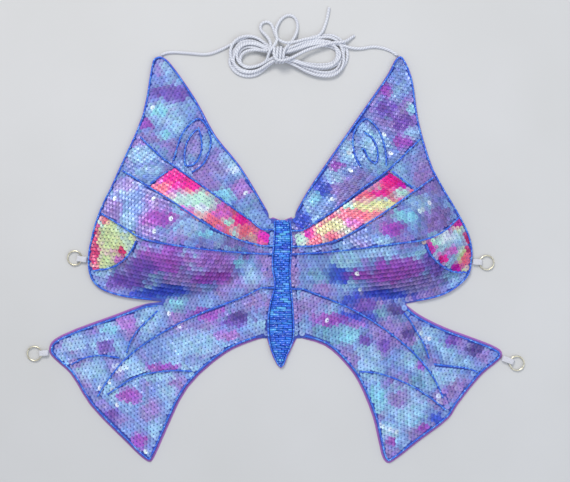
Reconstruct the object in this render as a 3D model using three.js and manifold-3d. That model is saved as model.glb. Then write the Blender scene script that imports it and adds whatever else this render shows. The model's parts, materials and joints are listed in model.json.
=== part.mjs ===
// A sequined butterfly top, laid flat with its front up: two padded wings of layered cloth, hinged by
// their fabric along a beaded body, with a ribbon tab and a ring at each outer corner and a cord from
// each upper tip. Millimetres, +Z up, X across the chest, Y from the hem to the neck.
import * as THREE from "three";
import { mergeVertices } from "three/addons/utils/BufferGeometryUtils.js";
import Module from "manifold-3d";

const wasm = await Module();
wasm.setup();

// Cloth layers, from the skin side outwards.
const liningThick = 0.5;
const baseThick = 0.6;
const sequinThick = 0.8;
const layerGap = 0.3;
const padThick = 4.5;

// Cups: each dome stands on an ellipse that is shorter below its centre than above it.
const cupHeight = 32;
const cupHalfWidth = 71;
const cupReachUp = 73;
const cupReachDown = 46;
const cupFullness = 1.5;
const padReach = 0.78;
const cupCells = 8;

// Beaded cords that draw the veins and bind the edges.
const veinRadius = 0.8;
const edgeRadius = 0.9;
const veinLift = 0.7;
const edgeLift = 0.5;
const beadStep = 7;
const beadSides = 5;
const upperEdgeInset = 1.3;
const lowerEdgeInset = 2.9;
const seam = 0.6;

// Fold line beside the body: how far out it runs at its two ends, and how far each layer stays back.
const foldTop = { out: 10.5, y: 66 };
const foldFoot = { out: 14.5, y: -36 };
const baseSetBack = 0.45;
const liningSetBack = 1.5;
const sequinSetBack = 2;
const edgeSetBack = 3.4;

// Body.
const bodyBeadHeight = 3.2;
const bodyBeadBevel = 0.9;
const bodyCordInset = 1.1;
const bodyNeck = 63;
const bodyNeckDip = 3.5;
const bodyHem = -41;
const bodyTail = [[-11.5, -47], [-8, -57.5], [-4, -65], [-1, -67.5], [2, -65], [5, -57], [10.5, -46]];
const bodyLeft = [[-7.5, 58.5], [-7.5, 48], [-9, 30], [-9, 17], [-7, 4.5], [-11, -11], [-13, -29], [-11.5, -46], [-8, -56.5]];
const bodyRight = [[8, 58.5], [9.5, 40.5], [8, 17], [8.5, 4.5], [10, -11], [11, -29], [10.5, -43], [5, -56]];

// Ribbon tabs and their rings.
const ribbonThick = 0.4;
const ribbonWidth = 4.6;
const loopRadius = 1.45;
const tabGap = 0.3;
const ringRadius = 6.1;
const ringWire = 0.65;
const ringSides = 6;
const ringSteps = 18;

// Neck cords.
const cordRadius = 1.25;
const cordSides = 8;
const hankHeight = 8;
const floorGap = 0.05;
const hankOutline = [
  [-46.5, 206], [-40, 216], [-24, 219], [-12, 215.5], [-7, 222], [-2, 231], [7, 236], [14, 231], [17, 221],
  [24, 217.5], [34, 219], [50, 213.5], [59.5, 204.5], [55, 194], [38, 185], [20, 183], [6, 190], [-4, 190],
  [-14, 184], [-30, 183], [-43, 192],
];

const sides = {
  left: {
    out: -1,
    cup: { x: -92, y: 39 },
    upperEdge: [
      [-9, 62], [-17, 76], [-36, 107], [-57, 133], [-74, 164], [-95, 194], [-100, 199], [-105, 201], [-110, 199],
      [-112, 194], [-120, 151], [-140, 105], [-159, 61], [-167, 30], [-165, 11], [-158, 2], [-148, -3], [-132, -7],
      [-103, -10],
    ],
    lowerEdge: [
      [-103, -10], [-118, -12], [-143, -21], [-190, -39], [-199, -46], [-200, -54], [-194, -61], [-182, -72],
      [-165, -99], [-135, -130], [-118, -146], [-113, -148], [-109, -142], [-100, -122], [-81, -84], [-49, -55],
      [-28, -45], [-11, -40],
    ],
    veins: {
      shoulder_vein: [[-121, 131], [-109, 119], [-96, 108], [-86, 100], [-68, 87], [-41, 68], [-17, 52]],
      panel_vein: [[-136, 102], [-113, 87], [-97, 77], [-55, 50], [-35, 42], [-17, 38]],
      panel_end_vein: [[-110.5, 89.5], [-104, 95], [-98, 99.5]],
      middle_vein: [[-153, 65], [-130, 52], [-119, 45.5], [-108, 42], [-70, 36], [-17, 31]],
      wing_spot_vein: [[-121, 41.5], [-124, 36], [-130, 29], [-142, 21.5], [-161, 16.5]],
      eyespot_outer_vein: [
        [-93, 111.5], [-90.5, 120], [-87, 131], [-82, 139], [-71.5, 147], [-63, 139], [-61, 129], [-63, 117],
        [-69, 106], [-77, 99.5],
      ],
      lower_long_vein: [[-18, 2], [-34, -6], [-70, -20], [-102, -36], [-133, -58], [-152, -81], [-158, -91]],
      lower_outer_vein: [[-107, -18], [-114, -25], [-125, -36], [-132, -49], [-133, -53]],
      lower_tip_vein: [[-140, -58], [-155, -56], [-169, -58], [-180, -63.5]],
      lower_hem_vein: [[-78, -69.5], [-94, -69], [-124, -74], [-149, -89]],
    },
    eyespot: [[-71.5, 139], [-69, 129], [-69.5, 118], [-74, 109], [-81.5, 104], [-83.5, 115], [-81, 128], [-76, 135]],
    tabs: {
      upper: { at: [-160, 25], turn: 172, length: 5, slack: 2.5 },
      lower: { at: [-190, -53], turn: 184, length: 4.5, slack: 0.3 },
    },
    fieldSplit: [[-3, 9], [-18, 2], [-34, -6], [-70, -20], [-102, -36], [-133, -58], [-152, -81], [-166, -104]],
    cord: [[-103.2, 202.1], [-101, 203.6], [-94.5, 204.5], [-79, 203.5], [-62, 203], [-46.9, 206]],
    cordEnd: [[33.5, 219.9], [36.5, 226], [39, 234], [40.5, 242.5]],
  },
  right: {
    out: 1,
    cup: { x: 94, y: 39 },
    upperEdge: [
      [9, 62], [21, 84], [44, 118], [69, 154], [91, 186], [96, 196], [99, 200], [102.5, 201], [106, 197],
      [112, 182], [118, 144], [133, 97], [153, 61], [160, 47], [163.5, 30], [161, 13], [149, 1], [135, -6],
      [106, -12],
    ],
    lowerEdge: [
      [106, -12], [118, -21], [140, -32], [167, -42], [184, -49], [189, -53], [189, -58], [184, -63], [172, -73],
      [151, -99], [144, -110], [118, -130], [96, -147], [91, -149], [87, -145], [83, -130], [78, -109], [65, -78],
      [54, -63], [37, -48], [11, -40],
    ],
    veins: {
      shoulder_vein: [[120, 131], [102, 113], [92, 102], [69, 85], [44, 66], [17, 51]],
      panel_vein: [[130, 96], [112, 83], [76, 58], [49, 43], [28, 38], [17, 37.5]],
      panel_end_vein: [[109.5, 86], [102, 93], [94.5, 99.5]],
      middle_vein: [[150, 62], [135, 50], [118, 43], [96, 40], [49, 34], [17, 31]],
      wing_spot_vein: [[119.5, 38.5], [123, 32], [132, 24], [143, 18], [158, 15]],
      eyespot_outer_vein: [
        [89.5, 105.5], [89.5, 112], [87, 127], [80, 141], [71.5, 147], [62, 136], [61, 124], [64, 112], [68, 105],
      ],
      lower_long_vein: [[18, 1], [41, -8], [65, -19], [93, -37], [116, -57], [130, -75], [138, -92]],
      lower_outer_vein: [[105, -20], [109, -25], [115, -35], [121, -45], [126, -58]],
      lower_tip_vein: [[131, -63.5], [143, -65], [159, -67], [167, -70]],
      lower_hem_vein: [[67, -70], [81, -71], [107, -80], [127, -92], [140, -102.5]],
    },
    eyespot: [[71, 135], [78, 130], [81.5, 121], [82, 110], [78, 102.5], [72.5, 110], [69, 118.5], [67.5, 127]],
    tabs: {
      upper: { at: [155, 25], turn: -4, length: 4.5, slack: 0.3 },
      lower: { at: [180, -55], turn: -20, length: 7, slack: 1.5 },
    },
    fieldSplit: [[3, 6], [18, 1], [41, -8], [65, -19], [93, -37], [116, -57], [130, -75], [141, -100], [146, -114]],
    cord: [[98.9, 201.7], [95.5, 204.5], [88, 207.7], [78, 209.2], [69, 207.5], [60.2, 204.6]],
    cordEnd: [[53.5, 212.6], [57, 214.9], [62, 218.5]],
  },
};

const upperSequinInset = upperEdgeInset + edgeRadius + layerGap;
const lowerSequinInset = lowerEdgeInset + edgeRadius + layerGap;

// Layer heights over flat cloth.
const baseLow = liningThick + layerGap;
const baseTop = baseLow + baseThick;
const sequinLow = baseTop + layerGap;
const sequinTop = sequinLow + sequinThick;

function finish(color, roughness, metalness = 0) {
  return new THREE.MeshStandardMaterial({ color, roughness, metalness });
}

const finishes = {
  lining: () => finish(0xb06ec8, 0.8),
  base: () => finish(0x6f8fe0, 0.9),
  pad: () => finish(0xf2f0ea, 0.95),
  blueSequins: () => finish(0x8296e1, 0.25, 0.3),
  pinkSequins: () => finish(0xff5fa0, 0.25, 0.3),
  spotSequins: () => finish(0xd7e6c0, 0.25, 0.3),
  beads: () => finish(0x2c62d8, 0.2),
  bodyBeads: () => finish(0x2864dc, 0.15),
  ribbon: () => finish(0xe4e4e8, 0.5),
  ring: () => finish(0xd8d0b0, 0.3, 1),
  cord: () => finish(0xcdcfd7, 0.85),
};

// ---- curves in the plane ----

function smooth(points) {
  const knots = points.map(([x, y]) => new THREE.Vector3(x, y, 0));
  return new THREE.CatmullRomCurve3(knots, false, "centripetal");
}

function outlinePoints(points, perSpan = 3) {
  return smooth(points)
    .getPoints((points.length - 1) * perSpan)
    .map((p) => new THREE.Vector2(p.x, p.y));
}

// Moves a run of points sideways: to the left of its direction where distance is positive.
function shifted(run, distance) {
  return run.map((p, i) => {
    const before = run[Math.max(i - 1, 0)];
    const after = run[Math.min(i + 1, run.length - 1)];
    const along = after.clone().sub(before).normalize();
    return new THREE.Vector2(p.x - along.y * distance, p.y + along.x * distance);
  });
}

function distanceToRun(point, run) {
  const spans = run.slice(1).map((end, i) => {
    const span = end.clone().sub(run[i]);
    const share = point.clone().sub(run[i]).dot(span) / span.lengthSq();
    return point.distanceTo(run[i].clone().addScaledVector(span, Math.min(Math.max(share, 0), 1)));
  });
  return Math.min(...spans);
}

// A run drawn in by a distance, without the points that would cross over at a tight tip.
function drawnIn(run, distance) {
  return shifted(run, distance).filter((p) => distanceToRun(p, run) >= 0.97 * Math.abs(distance));
}

// ---- solids ----

function toManifold(geometry) {
  const bare = geometry.clone();
  bare.deleteAttribute("normal");
  bare.deleteAttribute("uv");
  const merged = mergeVertices(bare, 1e-4);
  const vertProperties = new Float32Array(merged.attributes.position.array);
  const triVerts = new Uint32Array(merged.index.array);
  return new wasm.Manifold(new wasm.Mesh({ numProp: 3, vertProperties, triVerts }));
}

function toGeometry(solid) {
  const mesh = solid.getMesh();
  const geometry = new THREE.BufferGeometry();
  geometry.setAttribute("position", new THREE.BufferAttribute(mesh.vertProperties, 3));
  geometry.setIndex(new THREE.BufferAttribute(mesh.triVerts, 1));
  return geometry;
}

function prism(outline, low = -10, high = 80) {
  const geometry = new THREE.ExtrudeGeometry(new THREE.Shape(outline), { depth: high - low, bevelEnabled: false });
  geometry.translate(0, 0, low);
  return toManifold(geometry);
}

// A smooth path that is stepped from one of its points to the next, not by equal lengths.
class PointPath extends THREE.Curve {
  constructor(points) {
    super();
    this.curve = new THREE.CatmullRomCurve3(points, false, "centripetal");
  }
  getPointAt(share) {
    return this.curve.getPoint(share);
  }
  getTangentAt(share) {
    return this.curve.getTangent(share);
  }
}

// A rod with a ring of corners at each point of a 3-D run.
function rod(points, radius, count) {
  const section = new THREE.Shape(
    Array.from({ length: count }, (_, i) => {
      const angle = (i * 2 * Math.PI) / count;
      return new THREE.Vector2(radius * Math.cos(angle), radius * Math.sin(angle));
    }),
  );
  return new THREE.ExtrudeGeometry(section, { steps: points.length - 1, extrudePath: new PointPath(points) });
}

// ---- cup surface ----

function domeShare(cup, x, y) {
  const reach = y > cup.y ? cupReachUp : cupReachDown;
  const s2 = ((x - cup.x) / cupHalfWidth) ** 2 + ((y - cup.y) / reach) ** 2;
  return s2 < 1 ? (1 - s2) ** cupFullness : 0;
}

// Grid lines that are close together over the cup and absent over flat cloth.
function gridLines(low, start, middle, stop, high, cells) {
  const lines = [low];
  for (let i = 0; i <= cells; i++) lines.push(start + ((middle - start) * i) / cells);
  for (let i = 1; i <= cells; i++) lines.push(middle + ((stop - middle) * i) / cells);
  lines.push(high);
  return lines;
}

function cupGrid(side) {
  const { x, y } = side.cup;
  const half = Math.ceil(cupCells / 2);
  return {
    xs: gridLines(x - 200, x - cupHalfWidth, x, x + cupHalfWidth, x + 200, half),
    ys: gridLines(y - 250, y - cupReachDown, y, y + cupReachUp, y + 250, half),
  };
}

// Height share of the faceted cup, with the same facets as the layers have.
function facetedShare(side, x, y) {
  const { xs, ys } = cupGrid(side);
  const i = Math.min(Math.max(xs.findIndex((v) => v > x) - 1, 0), xs.length - 2);
  const j = Math.min(Math.max(ys.findIndex((v) => v > y) - 1, 0), ys.length - 2);
  const u = (x - xs[i]) / (xs[i + 1] - xs[i]);
  const v = (y - ys[j]) / (ys[j + 1] - ys[j]);
  const at = (di, dj) => domeShare(side.cup, xs[i + di], ys[j + dj]);
  if (u > v) return at(0, 0) + u * (at(1, 0) - at(0, 0)) + v * (at(1, 1) - at(1, 0));
  return at(0, 0) + v * (at(0, 1) - at(0, 0)) + u * (at(1, 1) - at(0, 1));
}

// A closed slab between two heights, each a flat height plus a dome.
function slab(side, lowFlat, lowDome, topFlat, topDome) {
  const { xs, ys } = cupGrid(side);
  const positions = [];
  for (const [flat, dome] of [[lowFlat, lowDome], [topFlat, topDome]])
    for (const y of ys) for (const x of xs) positions.push(x, y, flat + dome * domeShare(side.cup, x, y));
  const across = xs.length;
  const layer = across * ys.length;
  const index = [];
  const quad = (a, b, c, d) => index.push(a, b, c, a, c, d);
  for (let j = 0; j < ys.length - 1; j++)
    for (let i = 0; i < across - 1; i++) {
      const a = j * across + i;
      const [b, c, d] = [a + 1, a + across + 1, a + across];
      quad(a + layer, b + layer, c + layer, d + layer);
      index.push(a, c, b, a, d, c);
    }
  const wall = (a, b) => quad(a, b, b + layer, a + layer);
  for (let i = 0; i < across - 1; i++) {
    wall(i, i + 1);
    wall(layer - across + i + 1, layer - across + i);
  }
  for (let j = 0; j < ys.length - 1; j++) {
    wall((j + 1) * across, j * across);
    wall(j * across + across - 1, (j + 1) * across + across - 1);
  }
  const geometry = new THREE.BufferGeometry();
  geometry.setAttribute("position", new THREE.Float32BufferAttribute(positions, 3));
  geometry.setIndex(index);
  return toManifold(geometry);
}

// ---- plane regions of a wing ----

function foldX(y, side, setBack) {
  const slope = (foldTop.out - foldFoot.out) / (foldTop.y - foldFoot.y);
  return side.out * (foldFoot.out + (y - foldFoot.y) * slope + setBack);
}

// Everything on the wing's side of the fold line, from the set-back outwards.
function beyondFold(side, setBack) {
  const [top, foot] = [250, -200];
  const far = side.out * 260;
  return prism([
    new THREE.Vector2(foldX(top, side, setBack), top),
    new THREE.Vector2(foldX(foot, side, setBack), foot),
    new THREE.Vector2(far, foot),
    new THREE.Vector2(far, top),
  ]);
}

function edgeRuns(side) {
  return { upper: outlinePoints(side.upperEdge), lower: outlinePoints(side.lowerEdge) };
}

// The wing's outline, drawn in from its edges; the corner between its two lobes moves in with them.
function wingRegion(side, upperInset = 0, lowerInset = 0) {
  const { upper, lower } = edgeRuns(side);
  const turn = -side.out;
  const corner = lower[0].clone().add(new THREE.Vector2(turn * (upperInset + lowerInset), 0));
  const points = [
    ...drawnIn(upper, turn * upperInset).slice(0, -1),
    corner,
    ...drawnIn(lower, turn * lowerInset).slice(1),
    new THREE.Vector2(0, lower.at(-1).y + lowerInset),
    new THREE.Vector2(0, upper[0].y - upperInset),
  ];
  return prism(points);
}

// A closed outline moved outwards by a distance, with its corners kept sharp up to a limit.
function region(points, side, grow) {
  const most = 3;
  const normal = (a, b) => {
    const along = b.clone().sub(a).normalize();
    return new THREE.Vector2(side.out * along.y, -side.out * along.x);
  };
  const moved = points.map((p, i) => {
    const before = normal(points.at(i - 1), p);
    const after = normal(p, points[(i + 1) % points.length]);
    const both = before.clone().add(after).normalize();
    return p.clone().addScaledVector(both, grow * Math.min(most, 1 / both.dot(after)));
  });
  return prism(moved);
}

// The panel between the shoulder vein and the panel vein, from its outer end to the body.
function panelRegion(side, grow) {
  const top = outlinePoints(side.veins.shoulder_vein.slice(2), 2);
  const bottom = outlinePoints(side.veins.panel_vein.slice(1), 2);
  const atBody = (p) => new THREE.Vector2(0, p.y - 6);
  return region([...top, atBody(top.at(-1)), atBody(bottom.at(-1)), ...bottom.reverse()], side, grow);
}

// The spot at the wing's outer edge, between the middle vein and its own vein.
function spotRegion(side, grow) {
  const across = side.veins.middle_vein.slice(0, 3);
  const spot = side.veins.wing_spot_vein;
  const far = side.out * 200;
  const outer = [[far, across[0][1] + 30], [far, spot.at(-1)[1]]];
  const points = [...spot, ...outer.reverse(), ...across];
  return region(points.map(([x, y]) => new THREE.Vector2(x, y)), side, grow);
}

// Everything below the long vein of the lower lobe.
function lowerRegion(side, grow) {
  const line = outlinePoints(side.fieldSplit, 2);
  const start = line[0];
  const deep = -250;
  const points = [new THREE.Vector2(start.x, deep), new THREE.Vector2(line.at(-1).x, deep), ...line.reverse()];
  return region(points, side, grow);
}

// ---- assembly ----

const top = new THREE.Group();

function add(name, geometry, material) {
  const mesh = new THREE.Mesh(geometry, material);
  mesh.name = name;
  top.add(mesh);
  return mesh;
}

function addWing(name, side) {
  const outline = wingRegion(side);
  const lining = slab(side, 0, cupHeight - padThick, liningThick, cupHeight - padThick)
    .intersect(outline)
    .intersect(beyondFold(side, liningSetBack));
  const base = slab(side, baseLow, cupHeight, baseTop, cupHeight)
    .intersect(outline)
    .intersect(beyondFold(side, baseSetBack));
  const pad = slab(side, liningThick + layerGap, cupHeight - padThick, baseLow - layerGap, cupHeight)
    .intersect(padOutline(side));
  add(name + "_wing_lining", toGeometry(lining), finishes.lining());
  add(name + "_wing_base_fabric", toGeometry(base), finishes.base());
  add(name + "_cup_pad", toGeometry(pad), finishes.pad());
  addSequins(name, side);
  addVeins(name, side);
}

function padOutline(side) {
  const { x, y } = side.cup;
  const outline = Array.from({ length: 36 }, (_, i) => {
    const angle = (i * Math.PI) / 18;
    const reach = Math.sin(angle) > 0 ? cupReachUp : cupReachDown;
    return new THREE.Vector2(
      x + padReach * cupHalfWidth * Math.cos(angle),
      y + padReach * reach * Math.sin(angle),
    );
  });
  return prism(outline);
}

function addSequins(name, side) {
  const field = slab(side, sequinLow, cupHeight, sequinTop, cupHeight)
    .intersect(wingRegion(side, upperSequinInset, lowerSequinInset))
    .intersect(beyondFold(side, sequinSetBack));
  const half = seam / 2;
  const upper = field
    .subtract(panelRegion(side, half))
    .subtract(spotRegion(side, half))
    .subtract(lowerRegion(side, half));
  add(name + "_upper_sequins", toGeometry(upper), finishes.blueSequins());
  add(name + "_panel_sequins", toGeometry(field.intersect(panelRegion(side, -half))), finishes.pinkSequins());
  add(name + "_spot_sequins", toGeometry(field.intersect(spotRegion(side, -half))), finishes.spotSequins());
  add(name + "_lower_sequins", toGeometry(field.intersect(lowerRegion(side, -half))), finishes.blueSequins());
}

// Lifts a run of plane points onto the cloth, to where a ball of the cord's radius and its gap would rest.
function laidOn(run, side, layer, radius, gap) {
  const around = Array.from({ length: 8 }, (_, i) => (i * Math.PI) / 4);
  const ball = radius + gap;
  const rings = [0.35, 0.6, 0.8, 0.95].map((share) => share * ball);
  return run.map((p) => {
    const heights = rings.flatMap((d) =>
      around.map((a) => {
        const share = facetedShare(side, p.x + d * Math.cos(a), p.y + d * Math.sin(a));
        return cupHeight * share + Math.sqrt(ball ** 2 - d ** 2);
      }),
    );
    const height = Math.max(cupHeight * facetedShare(side, p.x, p.y) + ball, ...heights);
    return new THREE.Vector3(p.x, p.y, layer + height);
  });
}

function clearOfFold(p, side) {
  return side.out * (p.x - foldX(p.y, side, edgeSetBack)) > 0;
}

// A vein stops short of the edge cords and of the fold beside the body.
function veinCord(points, side) {
  const { upper, lower } = edgeRuns(side);
  const room = edgeRadius + veinRadius + layerGap;
  const fine = smooth(points).getSpacedPoints(80).filter((p) => {
    const place = new THREE.Vector2(p.x, p.y);
    const clearOfUpper = distanceToRun(place, upper) > upperEdgeInset + room;
    const clearOfLower = distanceToRun(place, lower) > lowerEdgeInset + room;
    return clearOfUpper && clearOfLower && clearOfFold(p, side);
  });
  const curve = new THREE.CatmullRomCurve3(fine, false, "centripetal");
  const steps = Math.max(4, Math.round(curve.getLength() / beadStep));
  return rod(laidOn(curve.getSpacedPoints(steps), side, sequinTop, veinRadius, veinLift), veinRadius, beadSides);
}

function edgeCord(run, side) {
  return rod(laidOn(run, side, baseTop, edgeRadius, edgeLift), edgeRadius, beadSides);
}

function addVeins(name, side) {
  for (const [vein, points] of Object.entries(side.veins))
    add(name + "_" + vein, veinCord(points, side), finishes.beads());
  const ring = [...side.eyespot, closeTo(side.eyespot[0], side.eyespot.at(-1), 2 * veinRadius + layerGap)];
  add(name + "_eyespot_inner_vein", veinCord(ring, side), finishes.beads());
  const { upper, lower } = edgeRuns(side);
  const upperRun = drawnIn(upper, -side.out * upperEdgeInset).filter((p) => clearOfFold(p, side)).slice(0, -1);
  const lowerRun = drawnIn(lower, -side.out * lowerEdgeInset).filter((p) => clearOfFold(p, side)).slice(1);
  add(name + "_upper_edge_cord", edgeCord(upperRun, side), finishes.beads());
  add(name + "_lower_edge_cord", edgeCord(lowerRun, side), finishes.beads());
}

// A point short of the target by a gap, coming from another point.
function closeTo(target, from, gap) {
  const span = Math.hypot(target[0] - from[0], target[1] - from[1]);
  return target.map((v, k) => v + ((from[k] - v) * gap) / span);
}

// The body: a strip of the same cloth between the fold lines, with a tail below them, and raised beads.
function addBody() {
  const strip = (setBack) => {
    const edge = (side, y) => new THREE.Vector2(foldX(y, side, -setBack), y);
    const { left, right } = sides;
    const tail = bodyTail.map(([x, y]) => new THREE.Vector2(x, y));
    const outline = [edge(left, bodyNeck), edge(left, bodyHem), ...tail, edge(right, bodyHem), edge(right, bodyNeck)];
    return [...outline, new THREE.Vector2(0, bodyNeck - bodyNeckDip)];
  };
  const flat = (outline, low, thick) => {
    const geometry = new THREE.ExtrudeGeometry(new THREE.Shape(outline), { depth: thick, bevelEnabled: false });
    return geometry.translate(0, 0, low);
  };
  add("body_lining", flat(strip(liningSetBack), 0, liningThick), finishes.lining());
  add("body_base_fabric", flat(strip(baseSetBack), baseLow, baseThick), finishes.base());

  const leftRun = outlinePoints(bodyLeft, 2);
  const rightRun = outlinePoints(bodyRight, 2);
  const beadInset = bodyCordInset + edgeRadius + layerGap + bodyBeadBevel;
  const beadOutline = [...shifted(leftRun, beadInset), ...shifted(rightRun, -beadInset).reverse()];
  const beads = new THREE.ExtrudeGeometry(new THREE.Shape(beadOutline), {
    depth: bodyBeadHeight - 2 * bodyBeadBevel,
    bevelThickness: bodyBeadBevel,
    bevelSize: bodyBeadBevel,
    bevelSegments: 2,
  });
  add("body_beads", beads.translate(0, 0, baseTop + layerGap + bodyBeadBevel), finishes.bodyBeads());
  const cordHeight = baseTop + layerGap + edgeRadius;
  const lift = (run) => run.map((p) => new THREE.Vector3(p.x, p.y, cordHeight));
  const leftCord = lift(shifted(leftRun, bodyCordInset));
  const rightCord = lift(shifted(rightRun, -bodyCordInset));
  add("body_left_edge_cord", rod(leftCord, edgeRadius, beadSides), finishes.beads());
  add("body_right_edge_cord", rod(rightCord, edgeRadius, beadSides), finishes.beads());
}

// How far the wing's edge reaches along a tab's direction, within the tab's width.
function edgeReach(side, tab, heading) {
  const { upper, lower } = edgeRuns(side);
  const origin = new THREE.Vector2(...tab.at);
  const parts = 12;
  const reaches = [upper, lower].flatMap((run) =>
    run.slice(1).flatMap((end, i) =>
      Array.from({ length: parts }, (_, k) => run[i].clone().lerp(end, k / parts).sub(origin)),
    ),
  );
  const inWidth = reaches.filter((p) => Math.abs(p.cross(heading)) < ribbonWidth / 2 + layerGap);
  return Math.max(...inWidth.map((p) => p.dot(heading)));
}

// A flat ribbon loop with round ends: the inner end turns at the cloth, the outer end holds the ring.
function addTab(name, side, tab) {
  const outer = loopRadius + ribbonThick;
  const along = new THREE.Group();
  const angle = THREE.MathUtils.degToRad(tab.turn);
  const heading = new THREE.Vector2(Math.cos(angle), Math.sin(angle));
  const seat = edgeReach(side, tab, heading);
  along.position.set(tab.at[0] + seat * heading.x, tab.at[1] + seat * heading.y, outer + floorGap);
  along.rotation.z = angle;
  top.add(along);
  const start = outer + tabGap;
  const stadium = (path, radius) => {
    path.absarc(start + tab.length, 0, radius, -Math.PI / 2, Math.PI / 2, false);
    path.absarc(start, 0, radius, Math.PI / 2, (3 * Math.PI) / 2, false);
    path.closePath();
    return path;
  };
  const profile = stadium(new THREE.Shape(), outer);
  profile.holes.push(stadium(new THREE.Path(), loopRadius));
  const ribbon = new THREE.ExtrudeGeometry(profile, {
    depth: ribbonWidth,
    bevelEnabled: false,
    curveSegments: 8,
  });
  ribbon.translate(0, 0, -ribbonWidth / 2).rotateX(Math.PI / 2);
  const loop = new THREE.Mesh(ribbon, finishes.ribbon());
  loop.name = name + "_ribbon_tab";
  const ring = new THREE.Mesh(new THREE.TorusGeometry(ringRadius, ringWire, ringSides, ringSteps), finishes.ring());
  ring.name = name + "_ring";
  ring.position.x = start + tab.length - tab.slack + ringRadius;
  along.add(loop, ring);
}

function addNeckCords() {
  for (const [name, side] of Object.entries(sides)) {
    addCordTube(name + "_neck_cord", side.cord, cordRadius + floorGap);
    addCordTube(name + "_neck_cord_end", side.cordEnd, cordRadius + floorGap);
  }
  const outline = new THREE.CatmullRomCurve3(
    hankOutline.map(([x, y]) => new THREE.Vector3(x, y, 0)),
    true,
    "centripetal",
  );
  const shape = new THREE.Shape(outline.getPoints(3 * hankOutline.length).slice(0, -1).map((p) => new THREE.Vector2(p.x, p.y)));
  const hank = new THREE.ExtrudeGeometry(shape, { depth: hankHeight, bevelEnabled: false });
  add("neck_cord_hank", hank.translate(0, 0, floorGap), finishes.cord());
}

function addCordTube(name, points, height) {
  const curve = smooth(points);
  const steps = Math.round(curve.getLength() / (5 * cordRadius));
  const path = curve.getSpacedPoints(steps).map((p) => p.setZ(height));
  add(name, rod(path, cordRadius, cordSides), finishes.cord());
}

for (const [name, side] of Object.entries(sides)) {
  addWing(name, side);
  for (const [place, tab] of Object.entries(side.tabs)) addTab(name + "_" + place, side, tab);
}
addBody();

// The origin is the middle of the top's footprint, without its cords, on the surface it lies on.
const footprint = new THREE.Box3().setFromObject(top);
const middle = footprint.getCenter(new THREE.Vector3());
addNeckCords();
top.position.set(-middle.x, -middle.y, -footprint.min.z);

const assembly = new THREE.Group();
assembly.add(top);
export default assembly;
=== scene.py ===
# A sequined butterfly top, laid flat with its front up: layered cloth wings with cups, fields of cup
# sequins between beaded veins, a body of bugle beads, ribbon tabs with rings and two tied-up neck cords.
import json
import math
import random

import bmesh
import bpy
import numpy as np
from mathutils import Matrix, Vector, noise
from mathutils.geometry import delaunay_2d_cdt
from mathutils.kdtree import KDTree


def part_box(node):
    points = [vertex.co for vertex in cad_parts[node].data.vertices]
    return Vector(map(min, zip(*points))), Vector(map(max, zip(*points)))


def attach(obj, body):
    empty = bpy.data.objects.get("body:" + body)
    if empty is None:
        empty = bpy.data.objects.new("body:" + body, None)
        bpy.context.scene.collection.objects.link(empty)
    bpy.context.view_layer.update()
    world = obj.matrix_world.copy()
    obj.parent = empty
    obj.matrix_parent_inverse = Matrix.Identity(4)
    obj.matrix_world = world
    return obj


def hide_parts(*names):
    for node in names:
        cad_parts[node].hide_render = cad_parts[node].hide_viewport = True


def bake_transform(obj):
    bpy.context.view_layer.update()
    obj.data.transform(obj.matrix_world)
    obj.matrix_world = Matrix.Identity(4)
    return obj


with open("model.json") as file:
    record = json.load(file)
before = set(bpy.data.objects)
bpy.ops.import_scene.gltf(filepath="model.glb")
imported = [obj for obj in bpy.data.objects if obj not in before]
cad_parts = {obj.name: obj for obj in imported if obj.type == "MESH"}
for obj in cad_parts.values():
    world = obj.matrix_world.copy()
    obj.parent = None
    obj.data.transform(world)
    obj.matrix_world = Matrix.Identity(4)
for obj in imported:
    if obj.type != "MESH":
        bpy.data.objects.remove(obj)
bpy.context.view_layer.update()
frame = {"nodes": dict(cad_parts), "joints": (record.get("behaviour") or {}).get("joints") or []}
mm = 0.001
middleX = 4.7 * mm  # the body's middle line
nodes = frame["nodes"]

# Camera, lamps and floor.

studio = {
    "aim": (0.0073, 0.0161),
    "cameraHeight": 1.090,
    "lens": 80,
    "keyPower": 9.5,
    "fillPower": 4.0,
    "skyColour": (0.86, 0.9, 1.0),
    "skyStrength": 0.62,
    "floorSize": 3.0,
}


def addCamera():
    data = bpy.data.cameras.new("topCamera")
    data.lens = studio["lens"]
    data.clip_start = 0.02
    camera = bpy.data.objects.new("topCamera", data)
    camera.location = (*studio["aim"], studio["cameraHeight"])
    bpy.context.scene.collection.objects.link(camera)
    bpy.context.scene.camera = camera


def addLamp(name, place, size, power, colour):
    data = bpy.data.lights.new(name, "AREA")
    data.shape = "DISK"
    data.size = size
    data.energy = power
    data.color = colour
    lamp = bpy.data.objects.new(name, data)
    lamp.location = place
    lamp.rotation_euler = (-Vector(place)).to_track_quat("-Z", "Y").to_euler()
    bpy.context.scene.collection.objects.link(lamp)


addCamera()
addLamp("keyLamp", (-0.25, 0.75, 1.15), 0.5, studio["keyPower"], (1.0, 0.97, 0.93))
addLamp("fillLamp", (0.7, -0.3, 1.1), 1.0, studio["fillPower"], (0.85, 0.92, 1.0))
sky = bpy.data.worlds.new("studioSky")
sky.use_nodes = True
sky.node_tree.nodes["Background"].inputs["Color"].default_value = (*studio["skyColour"], 1)
sky.node_tree.nodes["Background"].inputs["Strength"].default_value = studio["skyStrength"]
bpy.context.scene.world = sky
bpy.context.scene.view_settings.view_transform = "Standard"
print("camera and lamps placed")

# Helpers: meshes.


def newObject(name, mesh, material=None):
    piece = bpy.data.objects.new(name, mesh)
    bpy.context.scene.collection.objects.link(piece)
    if material:
        mesh.materials.clear()
        mesh.materials.append(material)
    return piece


def fitted(name, mesh, material, body, node):
    # A piece on its body, with its material and the CAD node it replaces.
    piece = newObject(name, mesh, material)
    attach(piece, body)
    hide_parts(node)
    return piece


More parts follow.
